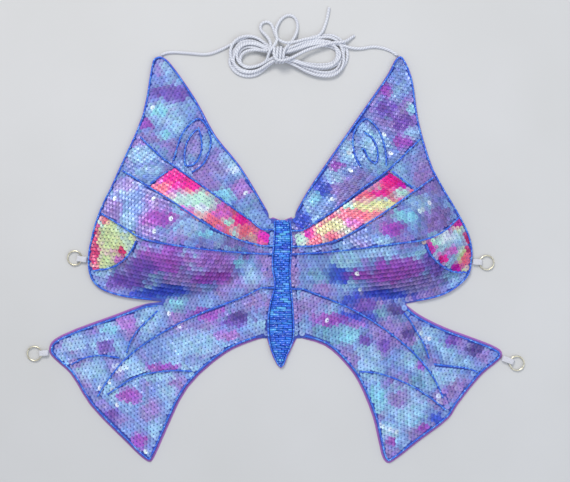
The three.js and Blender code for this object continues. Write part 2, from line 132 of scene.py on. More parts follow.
def smoothed(mesh):
    mesh.polygons.foreach_set("use_smooth", [True] * len(mesh.polygons))


def soft(t):
    # Runs from 0 to 1 with a gentle start and end.
    return t * t * (3 - 2 * t)


def meshFrom(name, points, faces, smooth=False):
    mesh = bpy.data.meshes.new(name)
    mesh.from_pydata([tuple(p) for p in points], [], faces)
    mesh.validate()
    mesh.update()
    if smooth:
        smoothed(mesh)
    return mesh


def normalsOut(mesh, merge=0):
    # Turns every face outwards, and first merges points that lie together.
    bm = bmesh.new()
    bm.from_mesh(mesh)
    if merge:
        bmesh.ops.remove_doubles(bm, verts=bm.verts, dist=merge)
    bmesh.ops.recalc_face_normals(bm, faces=bm.faces)
    bm.to_mesh(mesh)
    bm.free()


def splineThrough(points, step):
    # Centripetal curve through the points, cut into even steps.
    p = [Vector(q) for q in points]
    ends = [2 * p[0] - p[1]] + p + [2 * p[-1] - p[-2]]
    fine = []
    for a, b, c, d in zip(ends, ends[1:], ends[2:], ends[3:]):
        knots = [0.0]
        for u, v in ((a, b), (b, c), (c, d)):
            knots.append(knots[-1] + max((v - u).length, 1e-9) ** 0.5)
        t0, t1, t2, t3 = knots
        for k in range(12):
            t = t1 + (t2 - t1) * k / 12
            a1 = (t1 - t) / (t1 - t0) * a + (t - t0) / (t1 - t0) * b
            a2 = (t2 - t) / (t2 - t1) * b + (t - t1) / (t2 - t1) * c
            a3 = (t3 - t) / (t3 - t2) * c + (t - t2) / (t3 - t2) * d
            b1 = (t2 - t) / (t2 - t0) * a1 + (t - t0) / (t2 - t0) * a2
            b2 = (t3 - t) / (t3 - t1) * a2 + (t - t1) / (t3 - t1) * a3
            fine.append((t2 - t) / (t2 - t1) * b1 + (t - t1) / (t2 - t1) * b2)
    fine.append(p[-1].copy())
    return evenSteps(fine, step)


def evenSteps(fine, step):
    fine = np.array([tuple(q) for q in fine], float)
    along = np.concatenate([[0], np.cumsum(np.linalg.norm(np.diff(fine, axis=0), axis=1))])
    count = max(2, int(round(along[-1] / step)) + 1)
    want = np.linspace(0, along[-1], count)
    return [Vector([np.interp(w, along, fine[:, k]) for k in range(fine.shape[1])]) for w in want]


def tubeAlong(name, points, radius, sides=10):
    # A closed tube with rounded ends, and a UV map that runs along it.
    tangents = []
    for i in range(len(points)):
        tangents.append((points[min(i + 1, len(points) - 1)] - points[max(i - 1, 0)]).normalized())
    side = tangents[0].orthogonal().normalized()
    rings, places = [], []
    for i, (p, t) in enumerate(zip(points, tangents)):
        side = (side - t * side.dot(t)).normalized()
        up = t.cross(side)
        rows = [(p, 1.0)]
        if i == 0:
            rows = [(p - t * radius * 0.45, 0.62), (p, 1.0)]
        if i == len(points) - 1:
            rows = [(p, 1.0), (p + t * radius * 0.45, 0.62)]
        for centre, share in rows:
            ring = []
            for k in range(sides):
                a = 2 * math.pi * k / sides
                ring.append(centre + (side * math.cos(a) + up * math.sin(a)) * radius * share)
            rings.append(ring)
            places.append(centre)
    verts = [v for ring in rings for v in ring]
    faces, uvs = [], []
    along = [0.0]
    for a, b in zip(places, places[1:]):
        along.append(along[-1] + (b - a).length)
    for i in range(len(rings) - 1):
        for k in range(sides):
            n = (k + 1) % sides
            faces.append((i * sides + k, i * sides + n, (i + 1) * sides + n, (i + 1) * sides + k))
            uvs += [(k / sides, along[i]), ((k + 1) / sides, along[i])]
            uvs += [((k + 1) / sides, along[i + 1]), (k / sides, along[i + 1])]
    faces.append(tuple(range(sides))[::-1])
    uvs += [(0.5, 0.0)] * sides
    last = (len(rings) - 1) * sides
    faces.append(tuple(last + k for k in range(sides)))
    uvs += [(0.5, along[-1])] * sides
    mesh = bpy.data.meshes.new(name)
    mesh.from_pydata([tuple(v) for v in verts], [], faces)
    layer = mesh.uv_layers.new(name="alongCord")
    layer.data.foreach_set("uv", [c for uv in uvs for c in uv])
    smoothed(mesh)
    mesh.update()
    return mesh


# Helpers: materials.


def fromScreen(r, g, b):
    # A screen colour, 0 to 255, as the linear colour that a shader takes.
    out = []
    for c in (r, g, b):
        c = c / 255
        out.append(c / 12.92 if c <= 0.04045 else ((c + 0.055) / 1.055) ** 2.4)
    return (*out, 1.0)


def startMaterial(name, **fixed):
    material = bpy.data.materials.new(name)
    material.use_nodes = True
    tree = material.node_tree
    shader = tree.nodes["Principled BSDF"]
    for socket, value in fixed.items():
        shader.inputs[socket.replace("_", " ")].default_value = value
    return material, tree, shader


def addNode(tree, kind, **values):
    made = tree.nodes.new(kind)
    for key, value in values.items():
        setattr(made, key, value)
    return made


def noiseValue(tree, coords, scale, detail=3.0, roughness=0.55):
    made = addNode(tree, "ShaderNodeTexNoise")
    made.inputs["Scale"].default_value = scale
    made.inputs["Detail"].default_value = detail
    made.inputs["Roughness"].default_value = roughness
    tree.links.new(coords, made.inputs["Vector"])
    return made.outputs["Fac"]


def ramp(tree, value, stops):
    made = addNode(tree, "ShaderNodeValToRGB")
    made.color_ramp.elements[0].position, made.color_ramp.elements[0].color = stops[0]
    made.color_ramp.elements[1].position, made.color_ramp.elements[1].color = stops[-1]
    for place, colour in stops[1:-1]:
        made.color_ramp.elements.new(place).color = colour
    tree.links.new(value, made.inputs["Fac"])
    return made.outputs["Color"]


def spread(tree, value, low, high):
    made = addNode(tree, "ShaderNodeMapRange")
    made.inputs["To Min"].default_value = low
    made.inputs["To Max"].default_value = high
    tree.links.new(value, made.inputs["Value"])
    return made.outputs["Result"]


def mixColour(tree, a, b, share, kind="MIX"):
    made = addNode(tree, "ShaderNodeMix", data_type="RGBA", blend_type=kind)
    for socket, value in ((made.inputs[6], a), (made.inputs[7], b), (made.inputs[0], share)):
        if isinstance(value, (tuple, float, int)):
            socket.default_value = value
        else:
            tree.links.new(value, socket)
    return made.outputs[2]


def shades(tree, value, dark, light, places=(0.3, 0.7)):
    return ramp(tree, value, [(places[0], fromScreen(*dark)), (places[1], fromScreen(*light))])


def surfaced(tree, shader, colour, worn, rough, height, depth):
    # The base colour, a roughness that follows a pattern between two values, and a bump.
    tree.links.new(colour, shader.inputs["Base Color"])
    tree.links.new(spread(tree, worn, *rough), shader.inputs["Roughness"])
    made = addNode(tree, "ShaderNodeBump")
    made.inputs["Distance"].default_value = depth
    made.inputs["Strength"].default_value = 1.0
    tree.links.new(height, made.inputs["Height"])
    tree.links.new(made.outputs["Normal"], shader.inputs["Normal"])


def objectCoords(tree):
    return addNode(tree, "ShaderNodeTexCoord").outputs["Object"]


def waveValue(tree, coords, scale, direction, distortion=0.0):
    made = addNode(tree, "ShaderNodeTexWave", bands_direction=direction)
    made.inputs["Scale"].default_value = scale
    made.inputs["Distortion"].default_value = distortion
    tree.links.new(coords, made.inputs["Vector"])
    return made.outputs["Fac"]


def combine(tree, a, b, operation="MULTIPLY"):
    made = addNode(tree, "ShaderNodeMath", operation=operation)
    for socket, value in zip(made.inputs, (a, b)):
        if isinstance(value, (float, int)):
            socket.default_value = value
        else:
            tree.links.new(value, socket)
    return made.outputs[0]


# Neck cords: first, because they settle how far the object spreads.

cordSet = {
    "radius": 1.25 * mm,
    "step": 2.0 * mm,
    "wraps": 3.08,
    "easing": 3,
    "straight": 0.62,  # the share of a loop's length that isn't its half circle
    "wrapPitch": 2.75 * mm,
    "wrapSteps": 14,
    "leadLift": 0.00008,  # the leads and ends lie this far off the floor
    "endLift": 0.0001,
    "leftBlend": 34,  # how many points along its run a lead stops following its wing
    "rightBlend": 24,
}
# The leads from the two upper tips, repeated from the CAD route, row frame.
leftLead = [(-0.0985, 0.1761), (-0.0963, 0.1776), (-0.0898, 0.1785), (-0.0743, 0.1775), (-0.0573, 0.1770)]
rightLead = [(0.1036, 0.1757), (0.1002, 0.1785), (0.0927, 0.1817), (0.0827, 0.1832), (0.0737, 0.1815)]
leftEnd = [(0.0382, 0.1939), (0.0412, 0.2000), (0.0437, 0.2080), (0.0452, 0.2165)]
rightEnd = [(0.0582, 0.1866), (0.0617, 0.1889), (0.0667, 0.1925)]


def cordMaterial():
    material, tree, shader = startMaterial("braidedCord", Roughness=0.72, Sheen_Weight=0.25)
    uv = addNode(tree, "ShaderNodeTexCoord").outputs["UV"]
    mapping = addNode(tree, "ShaderNodeMapping")
    mapping.inputs["Scale"].default_value = (1.0, 160.0, 1.0)
    tree.links.new(uv, mapping.inputs["Vector"])
    strands = waveValue(tree, mapping.outputs["Vector"], 1.6, "DIAGONAL", 0.6)
    fibres = noiseValue(tree, objectCoords(tree), 900, 2)
    height = combine(tree, strands, combine(tree, fibres, 0.4), "ADD")
    shade = shades(tree, strands, (196, 199, 208), (238, 240, 245), (0.0, 1.0))
    soil = ramp(tree, noiseValue(tree, objectCoords(tree), 60),
                [(0.3, (0.9, 0.9, 0.92, 1)), (0.7, (1, 1, 1, 1))])
    colour = mixColour(tree, shade, soil, 1.0, "MULTIPLY")
    surfaced(tree, shader, colour, fibres, (0.6, 0.85), height, 0.00025)
    return material


hankLow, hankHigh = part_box("neck_cord_hank")
waistX = hankLow.x + 43.5 * mm
waistY = (hankLow.y + hankHigh.y) / 2 - 8.0 * mm


def loopPoint(angle, size):
    # One point of a pinched loop: a half circle at each end, drawn together at the waist.
    side = 1 if math.cos(angle) >= 0 else -1
    half, slot, level, waistLevel = size["half"], size["slot"], size["level"], size["waist"]
    body = size["left" if side < 0 else "right"] - half
    straight = cordSet["straight"]
    share = abs(math.cos(angle))
    sign = 1 if math.sin(angle) >= 0 else -1
    if share < straight:
        x = body * share / straight
        t = soft(min(1.0, x / (0.85 * body)))
        y = sign * (slot + (half - slot) * t)
        z = waistLevel + (level - waistLevel) * t
    else:
        turn = (share - straight) / (1 - straight) * math.pi / 2
        x = body + half * math.sin(turn)
        y = sign * half * math.cos(turn)
        z = level
    return Vector((waistX + side * x, waistY + y + size["lean"] * side * x, z))


def windTurns(turns, start, way, steps=40):
    # turns holds one dictionary for each turn; the sizes slide from one turn to the next.
    points = []
    total = len(turns)
    count = int(total * steps)
    for i in range(count + 1):
        place = i / steps
        k = min(int(place), total - 1)
        f = soft(min(max(place - k - 0.7, 0) / 0.3, 1)) if k + 1 < total else 0
        a, b = turns[k], turns[min(k + 1, total - 1)]
        size = {key: a[key] * (1 - f) + b[key] * f for key in a}
        angle = start + way * 2 * math.pi * place
        points.append(loopPoint(angle, size))
    return points


def turnSizes(halves, left, right, slots, level, waists, leans):
    out = []
    for k, half in enumerate(halves):
        shrink = (halves[0] - half) * 1.05
        out.append({
            "half": half * mm, "left": (left - shrink) * mm, "right": (right - shrink) * mm,
            "slot": slots[k] * mm, "level": (level + 0.15 * k) * mm, "waist": waists[k] * mm,
            "lean": leans[k],
        })
    return out


def at(x, y, z):
    return Vector((waistX + x * mm, waistY + y * mm, z * mm))


def eased(run):
    # Takes the kinks out of a run and spaces its points evenly again.
    points = [Vector(p) for p in run]
    for _ in range(cordSet["easing"]):
        between = [(a + 2 * b + c) / 4 for a, b, c in zip(points, points[1:], points[2:])]
        points = [points[0]] + between + [points[-1]]
    return evenSteps(points, cordSet["step"])


def buildCords():
    r = cordSet["radius"]
    material = cordMaterial()
    # The left cord winds the lower layer, clockwise from the left lobe, and ends past the right lobe.
    lower = turnSizes([17.0, 14.2, 11.4, 8.6], 43.5, 59.5, [3.8, 1.3, 1.3, 3.8], 1.35, [3.9, 3.9, 6.3, 6.3],
                      [0.02, 0.09, -0.07, 0.03])
    wound = windTurns(lower, math.radians(128), -1)
    while wound and wound[-1].x > waistX - 15 * mm:
        wound.pop()
    lead = [Vector((x, y, r + cordSet["leadLift"])) for x, y in leftLead]
    small = [at(-7.5, 3.4, 9.4), at(-6.5, 10, 9.5), at(-11, 17.5, 5), at(-16.2, 23.4, 2.2),
             at(-13.6, 29.2, 1.6), at(-6.8, 28.8, 1.6), at(-4, 22, 2.4), at(-1, 14, 6.5), at(6, 10, 9.6),
             at(14, 11, 8.5), at(24, 14, 6.6), at(31, 15, 5.4)]
    tail = [Vector((x, y, r + cordSet["endLift"])) for x, y in leftEnd]
    tail[0].z = 3.6 * mm
    leftRun = eased(splineThrough(lead + wound + small + tail, cordSet["step"]))
    # The right cord winds the upper layer the other way, then wraps the waist and ends over the right lobe.
    upper = turnSizes([15.2, 12.6, 10.0, 7.4], 41.5, 57.0, [3.8, 3.8, 1.3, 1.3], 3.95, [6.3, 8.7, 8.7, 8.7],
                      [-0.06, 0.08, 0.0, 0.12])
    wound = windTurns(upper, math.radians(58), 1)
    while wound and wound[-1].x > waistX - 10 * mm:
        wound.pop()
    lead = [Vector((x, y, r + cordSet["leadLift"])) for x, y in rightLead]
    lead.append(Vector((rightLead[-1][0] - 8.0 * mm, rightLead[-1][1] + 0.2 * mm, 2.6 * mm)))
    loop = [at(-8, 2, 11.3), at(-1, 12, 9.5), at(-2.5, 21, 4.5), at(1, 30, 1.7), at(8, 35.5, 1.4),
            at(14.5, 33, 1.4), at(16.5, 24, 1.6), at(13, 14, 5.2), at(7.5, 7.0, 9.3)]
    wraps = []
    count = int(cordSet["wraps"] * cordSet["wrapSteps"])
    for i in range(count + 1):
        turn = math.radians(62) + 2 * math.pi * i / cordSet["wrapSteps"]
        x = 4.6 * mm - cordSet["wrapPitch"] * i / cordSet["wrapSteps"]
        y, z = 7.0 * mm * math.cos(turn), 7.4 * mm + 6.1 * mm * math.sin(turn)
        wraps.append(Vector((waistX + x, waistY + y, z)))
    last = [at(-3.2, -4.2, 13.2), at(0.8, -6.0, 13.9), at(5.5, -5.4, 13.4), at(12, -2.5, 10.6),
            at(24, 4, 7.0), at(38, 8.5, 5.8), at(48, 11, 5.4)]
    tail = [Vector((x, y, z * mm)) for (x, y), z in zip(rightEnd, (4.8, 2.6, 1.35))]
    rightRun = eased(splineThrough(lead + wound + loop + wraps + last + tail, cordSet["step"]))
    pieces = []
    for side, run in (("left", leftRun), ("right", rightRun)):
        piece = newObject(side + "_cord", tubeAlong(side + "_cord", run, r), material)
        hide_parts(side + "_neck_cord", side + "_neck_cord_end", "neck_cord_hank")
        pieces.append(piece)
    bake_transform(pieces[0])
    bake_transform(pieces[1])


buildCords()
print("cords wound")

# The cloth's shape, taken from the frame.

cupShape = {"height": 32 * mm, "liningHeight": 27.5 * mm, "halfWidth": 71 * mm, "reachUp": 73 * mm,
            "reachDown": 46 * mm, "fullness": 1.5}
layers = {"liningLow": 0.02 * mm, "liningThick": 0.5 * mm, "baseLow": 0.8 * mm, "baseThick": 0.6 * mm}
cups = {}
for side in ("left", "right"):
    low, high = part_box(side + "_cup_pad")
    foot = cupShape["reachDown"] / (cupShape["reachDown"] + cupShape["reachUp"])
    cups[side] = ((low.x + high.x) / 2, low.y + (high.y - low.y) * foot)
outward = {"left": -1, "right": 1}


def domeShare(side, x, y):
    if side == "body":
        return np.zeros_like(np.asarray(x, float))
    cx, cy = cups[side]
    x, y = np.asarray(x, float), np.asarray(y, float)
    reach = np.where(y > cy, cupShape["reachUp"], cupShape["reachDown"])
    s2 = ((x - cx) / cupShape["halfWidth"]) ** 2 + ((y - cy) / reach) ** 2
    return np.clip(1 - s2, 0, 1) ** cupShape["fullness"]


def clothPoint(side, x, y, rise):
    # A point at a distance off the base cloth's underside, measured square to the cloth.
    height = cupShape["height"]
    h = 0.4 * mm
    z = float(domeShare(side, x, y)) * height
    dx = (float(domeShare(side, x + h, y)) - float(domeShare(side, x - h, y))) * height / (2 * h)
    dy = (float(domeShare(side, x, y + h)) - float(domeShare(side, x, y - h))) * height / (2 * h)
    normal = Vector((-dx, -dy, 1)).normalized()
    return Vector((x, y, z + layers["baseLow"])) + normal * rise, normal


def mergedCopy(node):
    bm = bmesh.new()
    bm.from_mesh(nodes[node].data)
    bmesh.ops.remove_doubles(bm, verts=bm.verts, dist=1e-6)
    bm.normal_update()
    return bm


def outlineOf(node):
    # The plan outline of a flat CAD node: the edges between its upright walls and its top, in order.
    bm = mergedCopy(node)
    links = {}
    for e in bm.edges:
        if len(e.link_faces) != 2:
            continue
        walls = [abs(f.normal.z) < 0.02 for f in e.link_faces]
        tops = [f.normal.z > 0.02 for f in e.link_faces]
        if any(walls) and any(tops):
            a, b = e.verts
            links.setdefault(a.index, []).append(b.index)
            links.setdefault(b.index, []).append(a.index)
    bm.verts.ensure_lookup_table()
    start = next(iter(links))
    order, last, here = [start], None, start
    while True:
        onward = [v for v in links[here] if v != last]
        if not onward:
            break
        last, here = here, onward[0]
        if here == start:
            break
        order.append(here)
    points = [Vector(bm.verts[i].co[:2]) for i in order]
    bm.free()
    area = sum(a.x * b.y - b.x * a.y for a, b in zip(points, points[1:] + points[:1])) / 2
    return points if area > 0 else points[::-1]


def centreLine(node, sides=5):
    # The middle line of a CAD rod: its rings, met one after another from its end cap.
    bm = mergedCopy(node)
    bm.verts.ensure_lookup_table()
    caps = []
    seen = set()
    for f in bm.faces:
        if f in seen:
            continue
        group, queue = {f}, [f]
        while queue:
            g = queue.pop()
            for e in g.edges:
                for h in e.link_faces:
                    if h not in group and h.normal.dot(g.normal) > 0.999999:
                        group.add(h)
                        queue.append(h)
        seen |= group
        corners = {v for g in group for v in g.verts}
        if len(corners) == sides and len(group) == sides - 2:
            caps.append(corners)
    ring = caps[0]
    done = set(ring)
    line = []
    while ring:
        line.append(sum((v.co for v in ring), Vector()) / len(ring))
        ring = {e.other_vert(v) for v in ring for e in v.link_edges} - done
        done |= ring
    bm.free()
    return line


veinNames = ["shoulder_vein", "panel_vein", "panel_end_vein", "middle_vein", "wing_spot_vein",
             "eyespot_outer_vein", "eyespot_inner_vein", "lower_long_vein", "lower_outer_vein",
             "lower_tip_vein", "lower_hem_vein"]
veinLines = {}
edgeLines = {}
for side in ("left", "right"):
    veinLines[side] = {name: centreLine(side + "_" + name) for name in veinNames}
    edgeLines[side] = {name: centreLine(side + "_" + name) for name in ("upper_edge_cord", "lower_edge_cord")}
edgeLines["body"] = {name: centreLine(name) for name in ("body_left_edge_cord", "body_right_edge_cord")}
wingOutline = {side: outlineOf(side + "_wing_base_fabric") for side in ("left", "right")}
bodyOutline = outlineOf("body_base_fabric")
print("outlines read:", len(wingOutline["left"]), len(wingOutline["right"]), len(bodyOutline), "points")


def inside(outline, x, y):
    x, y = np.asarray(x, float), np.asarray(y, float)
    result = np.zeros(x.shape, bool)
    for a, b in zip(outline, outline[1:] + outline[:1]):
        if a.y == b.y:
            continue
        crosses = (a.y > y) != (b.y > y)
        result ^= crosses & (x < (b.x - a.x) * (y - a.y) / (b.y - a.y) + a.x)
    return result


def treeOf(runs, step=1.0 * mm):
    points = [p for run in runs for p in evenSteps([(q[0], q[1]) for q in run], step)]
    tree = KDTree(len(points))
    for i, p in enumerate(points):
        tree.insert((p.x, p.y, 0), i)
    tree.balance()
    return tree


def treeOfEdges(outline, step=1.0 * mm):
    # The outline without its one long straight side, which is the fold beside the body.
    spans = list(zip(outline, outline[1:] + outline[:1]))
    longest = max(range(len(spans)), key=lambda i: (spans[i][1] - spans[i][0]).length)
    order = spans[longest + 1:] + spans[:longest]
    return treeOf([[a for a, _ in order] + [order[-1][1]]], step)


def reachTo(tree, x, y):
    return tree.find((x, y, 0))[2]


def drawnIn(outline, inset):
    # A closed outline moved inwards; inset is a function of the point.
    moved = []
    for i, p in enumerate(outline):
        a, b = outline[i - 1], outline[(i + 1) % len(outline)]
        n1 = Vector((-(p - a).y, (p - a).x)).normalized()
        n2 = Vector((-(b - p).y, (b - p).x)).normalized()
        n = (n1 + n2).normalized()
        moved.append(p + n * inset(p) / max(0.5, n.dot(n1)))
    return moved


def patchMesh(name, outline, side, under, thick, dome, cell=4.0 * mm):
    # Cloth cut to the outline and laid over the cup, closed between its two faces.
    ring = evenSteps([tuple(p) for p in outline] + [tuple(outline[0])], 2.5 * mm)[:-1]
    xs = [p.x for p in ring]
    ys = [p.y for p in ring]
    gx, gy = np.meshgrid(np.arange(min(xs), max(xs), cell), np.arange(min(ys), max(ys), cell))
    gx, gy = gx.ravel(), gy.ravel()
    near = treeOf([ring + ring[:1]])
    keep = inside(ring, gx, gy)
    inner = [Vector((x, y)) for x, y, k in zip(gx, gy, keep) if k and reachTo(near, x, y) > 0.55 * cell]
    points = ring + inner
    edges = [(i, (i + 1) % len(ring)) for i in range(len(ring))]
    loops = [list(range(len(ring)))]
    flat, _, faces, _, _, _ = delaunay_2d_cdt([p.to_2d() for p in points], edges, loops, 1, 1e-7)
    heights = domeShare(side, [p.x for p in flat], [p.y for p in flat]) * dome
    low = [Vector((p.x, p.y, under + z)) for p, z in zip(flat, heights)]
    high = [v + Vector((0, 0, thick)) for v in low]
    n = len(flat)
    count = {}
    for f in faces:
        for a, b in zip(f, f[1:] + f[:1]):
            count[(a, b)] = 1
    walls = [(a, b, b + n, a + n) for a, b in count if (b, a) not in count]
    made = [tuple(i + n for i in f) for f in faces] + [tuple(f)[::-1] for f in faces] + walls
    area = 0
    for f in faces:
        a, b, c = (Vector(flat[i]).to_3d() for i in f[:3])
        area += abs(a.cross(b).z + b.cross(c).z + c.cross(a).z) / 2
    mesh = meshFrom(name, low + high, made)
    normalsOut(mesh)
    mesh.polygons.foreach_set("use_smooth", [abs(p.normal.z) > 0.2 for p in mesh.polygons])
    return mesh, area


# Cloth.

clothSet = {"liningShows": 1.6 * mm, "upperTurn": 0.35 * mm, "foldStart": 16 * mm, "foldFade": 4 * mm,
            "neckInset": 1.3 * mm, "hemInset": 0.9 * mm, "sideInset": 1.2 * mm,
            "neckReach": 12 * mm, "hemReach": 8 * mm}


def clothMaterial(name, dark, light, thread, sheen):
    material, tree, shader = startMaterial(name, Roughness=0.8, Sheen_Weight=sheen, Sheen_Roughness=0.4)
    coords = objectCoords(tree)
    across = waveValue(tree, coords, thread, "X", 0.4)
    along = waveValue(tree, coords, thread, "Y", 0.4)
    weave = combine(tree, across, along)
    cloudy = noiseValue(tree, coords, 35)
    shade = combine(tree, combine(tree, weave, 0.6), combine(tree, cloudy, 0.5), "ADD")
    colour = shades(tree, shade, dark, light, (0.15, 0.85))
    surfaced(tree, shader, colour, cloudy, (0.68, 0.92), weave, 0.0002)
    return material


liningCloth = clothMaterial("liningKnit", (158, 96, 184), (212, 132, 216), 420, 0.3)
baseCloth = clothMaterial("baseKnit", (64, 78, 186), (104, 124, 222), 420, 0.2)


def notchLine(side):
    return max(p.y for p in edgeLines[side]["lower_edge_cord"] if abs(p.x) > 60 * mm)


def wingInset(side):
    notch = notchLine(side)

    def inset(p):
        if p.y > notch + 1.0 * mm:
            return clothSet["upperTurn"]
        away = (abs(p.x - middleX) - clothSet["foldStart"]) / clothSet["foldFade"]
        share = min(1.0, max(0.0, away))
        return clothSet["upperTurn"] + (clothSet["liningShows"] - clothSet["upperTurn"]) * share

    return inset


def layCloth(name, outline, side, low, thick, height, node, cloth):
    mesh, area = patchMesh(name, outline, side, low, thick, height)
    piece = fitted(name, mesh, cloth, "root" if side == "body" else side + "_wing", node)


def buildCloth():
    for side in ("left", "right"):
        lining, base = side + "_lining", side + "_base"
        layCloth(lining, outlineOf(side + "_wing_lining"), side, layers["liningLow"], layers["liningThick"],
                 cupShape["liningHeight"], side + "_wing_lining", liningCloth)
        outline = drawnIn(wingOutline[side], wingInset(side))
        layCloth(base, outline, side, layers["baseLow"], layers["baseThick"], cupShape["height"],
                 side + "_wing_base_fabric", baseCloth)
        foldCloth(side)
    outline = outlineOf("body_lining")
    layCloth("body_lining_cloth", outline, "body", layers["liningLow"], layers["liningThick"], 0,
             "body_lining", liningCloth)
    neck = max(p.y for p in bodyOutline) - clothSet["neckReach"]
    hem = min(p.y for p in edgeLines["body"]["body_left_edge_cord"]) + clothSet["hemReach"]

    def inset(p):
        return clothSet["neckInset" if p.y > neck else "hemInset" if p.y < hem else "sideInset"]

    outline = drawnIn(bodyOutline, inset)
    layCloth("body_base_cloth", outline, "body", layers["baseLow"], layers["baseThick"], 0,
             "body_base_fabric", baseCloth)


foldSet = {"reach": 6.0 * mm, "under": 0.54 * mm, "thick": 0.22 * mm, "bend": 1.5 * mm,
           "hemClear": 26 * mm, "neckClear": 1.5 * mm, "parts": 34, "columns": 12}


def foldOf(side):
    # A point on the fold, the way it runs and the way out to the wing.
    joint = next(j for j in frame["joints"] if j["child"] == side + "_wing")
    centre, axis = Vector(joint["pos_m"]), Vector(joint["axis"]).normalized()
    if axis.y < 0:
        axis = -axis
    return centre, axis, Vector((axis.y, -axis.x, 0)) * outward[side]


def foldCloth(side):
    # The strip of cloth that carries the wing across the fold.
    centre, axis, across = foldOf(side)
    low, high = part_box("body_base_fabric")
    start = (low.y + foldSet["hemClear"] - centre.y) / axis.y
    stop = (high.y - foldSet["neckClear"] - centre.y) / axis.y
    parts, columns = foldSet["parts"], foldSet["columns"]
    points, faces = [], []
    for z in (foldSet["under"], foldSet["under"] + foldSet["thick"]):
        for i in range(parts + 1):
            for k in range(columns + 1):
                p = centre + axis * (start + (stop - start) * i / parts)
                p = p + across * foldSet["reach"] * (2 * k / columns - 1)
                points.append(Vector((p.x, p.y, z)))
    layer = (parts + 1) * (columns + 1)
    count = {}
    for i in range(parts):
        for k in range(columns):
            a = i * (columns + 1) + k
            quad = (a, a + 1, a + columns + 2, a + columns + 1)
            faces.append(tuple(q + layer for q in quad))
            faces.append(quad[::-1])
            for u, v in zip(quad, quad[1:] + quad[:1]):
                count[(u, v)] = 1
    faces += [(a, b, b + layer, a + layer) for a, b in count if (b, a) not in count]
    mesh = meshFrom(side + "_fold_cloth", points, faces, True)
    normalsOut(mesh)
    piece = newObject(side + "_fold_cloth", mesh, baseCloth)
    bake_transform(piece)


padSet = {"reach": 0.77, "rings": 16, "parts": 48, "low": 0.8 * mm, "high": 0.5 * mm, "rim": 0.12, "crown": 6}


def buildPads():
    # The foam cups between lining and base: crowned, thin at the rim.
    foam, tree, shader = startMaterial("cupFoam", Roughness=0.95)
    cells = noiseValue(tree, objectCoords(tree), 1400, 2)
    colour = shades(tree, cells, (226, 222, 212), (247, 245, 238))
    surfaced(tree, shader, colour, cells, (0.85, 1.0), cells, 0.0002)
    for side in ("left", "right"):
        cx, cy = cups[side]
        points, faces = [], []
        for top in (False, True):
            for k in range(padSet["rings"] + 1):
                share = padSet["reach"] * k / padSet["rings"]
                for j in range(padSet["parts"]):
                    a = 2 * math.pi * j / padSet["parts"]
                    reach = cupShape["reachUp"] if math.sin(a) > 0 else cupShape["reachDown"]
                    x = cx + share * cupShape["halfWidth"] * math.cos(a)
                    y = cy + share * reach * math.sin(a)
                    rise = float(domeShare(side, x, y))
                    lower = padSet["low"] + cupShape["liningHeight"] * rise
                    upper = padSet["high"] + cupShape["height"] * rise
                    middle = (lower + upper) / 2
                    outermost = k == padSet["rings"]
                    edge = math.sqrt(1 - (k / padSet["rings"]) ** padSet["crown"])
                    edge = padSet["rim"] if outermost else edge
                    z = middle + (1 if top else -1) * (upper - lower) / 2 * edge
                    points.append(Vector((x, y, z)))
        parts, layer = padSet["parts"], (padSet["rings"] + 1) * padSet["parts"]
        for base, flip in ((0, True), (layer, False)):
            for k in range(padSet["rings"]):
                for j in range(parts):
                    n = (j + 1) % parts
                    quad = (base + k * parts + j, base + (k + 1) * parts + j, base + (k + 1) * parts + n,
                            base + k * parts + n)
                    faces.append(quad[::-1] if flip else quad)
        rim = padSet["rings"] * parts
        for j in range(parts):
            n = (j + 1) % parts
            faces.append((rim + j, rim + n, layer + rim + n, layer + rim + j))
        mesh = meshFrom(side + "_cup_foam", points, faces, True)
        normalsOut(mesh, 1e-6)
        piece = fitted(side + "_cup_foam", mesh, foam, side + "_wing", side + "_cup_pad")


buildPads()
buildCloth()
print("cloth laid")

# Scattering small pieces with geometry nodes.


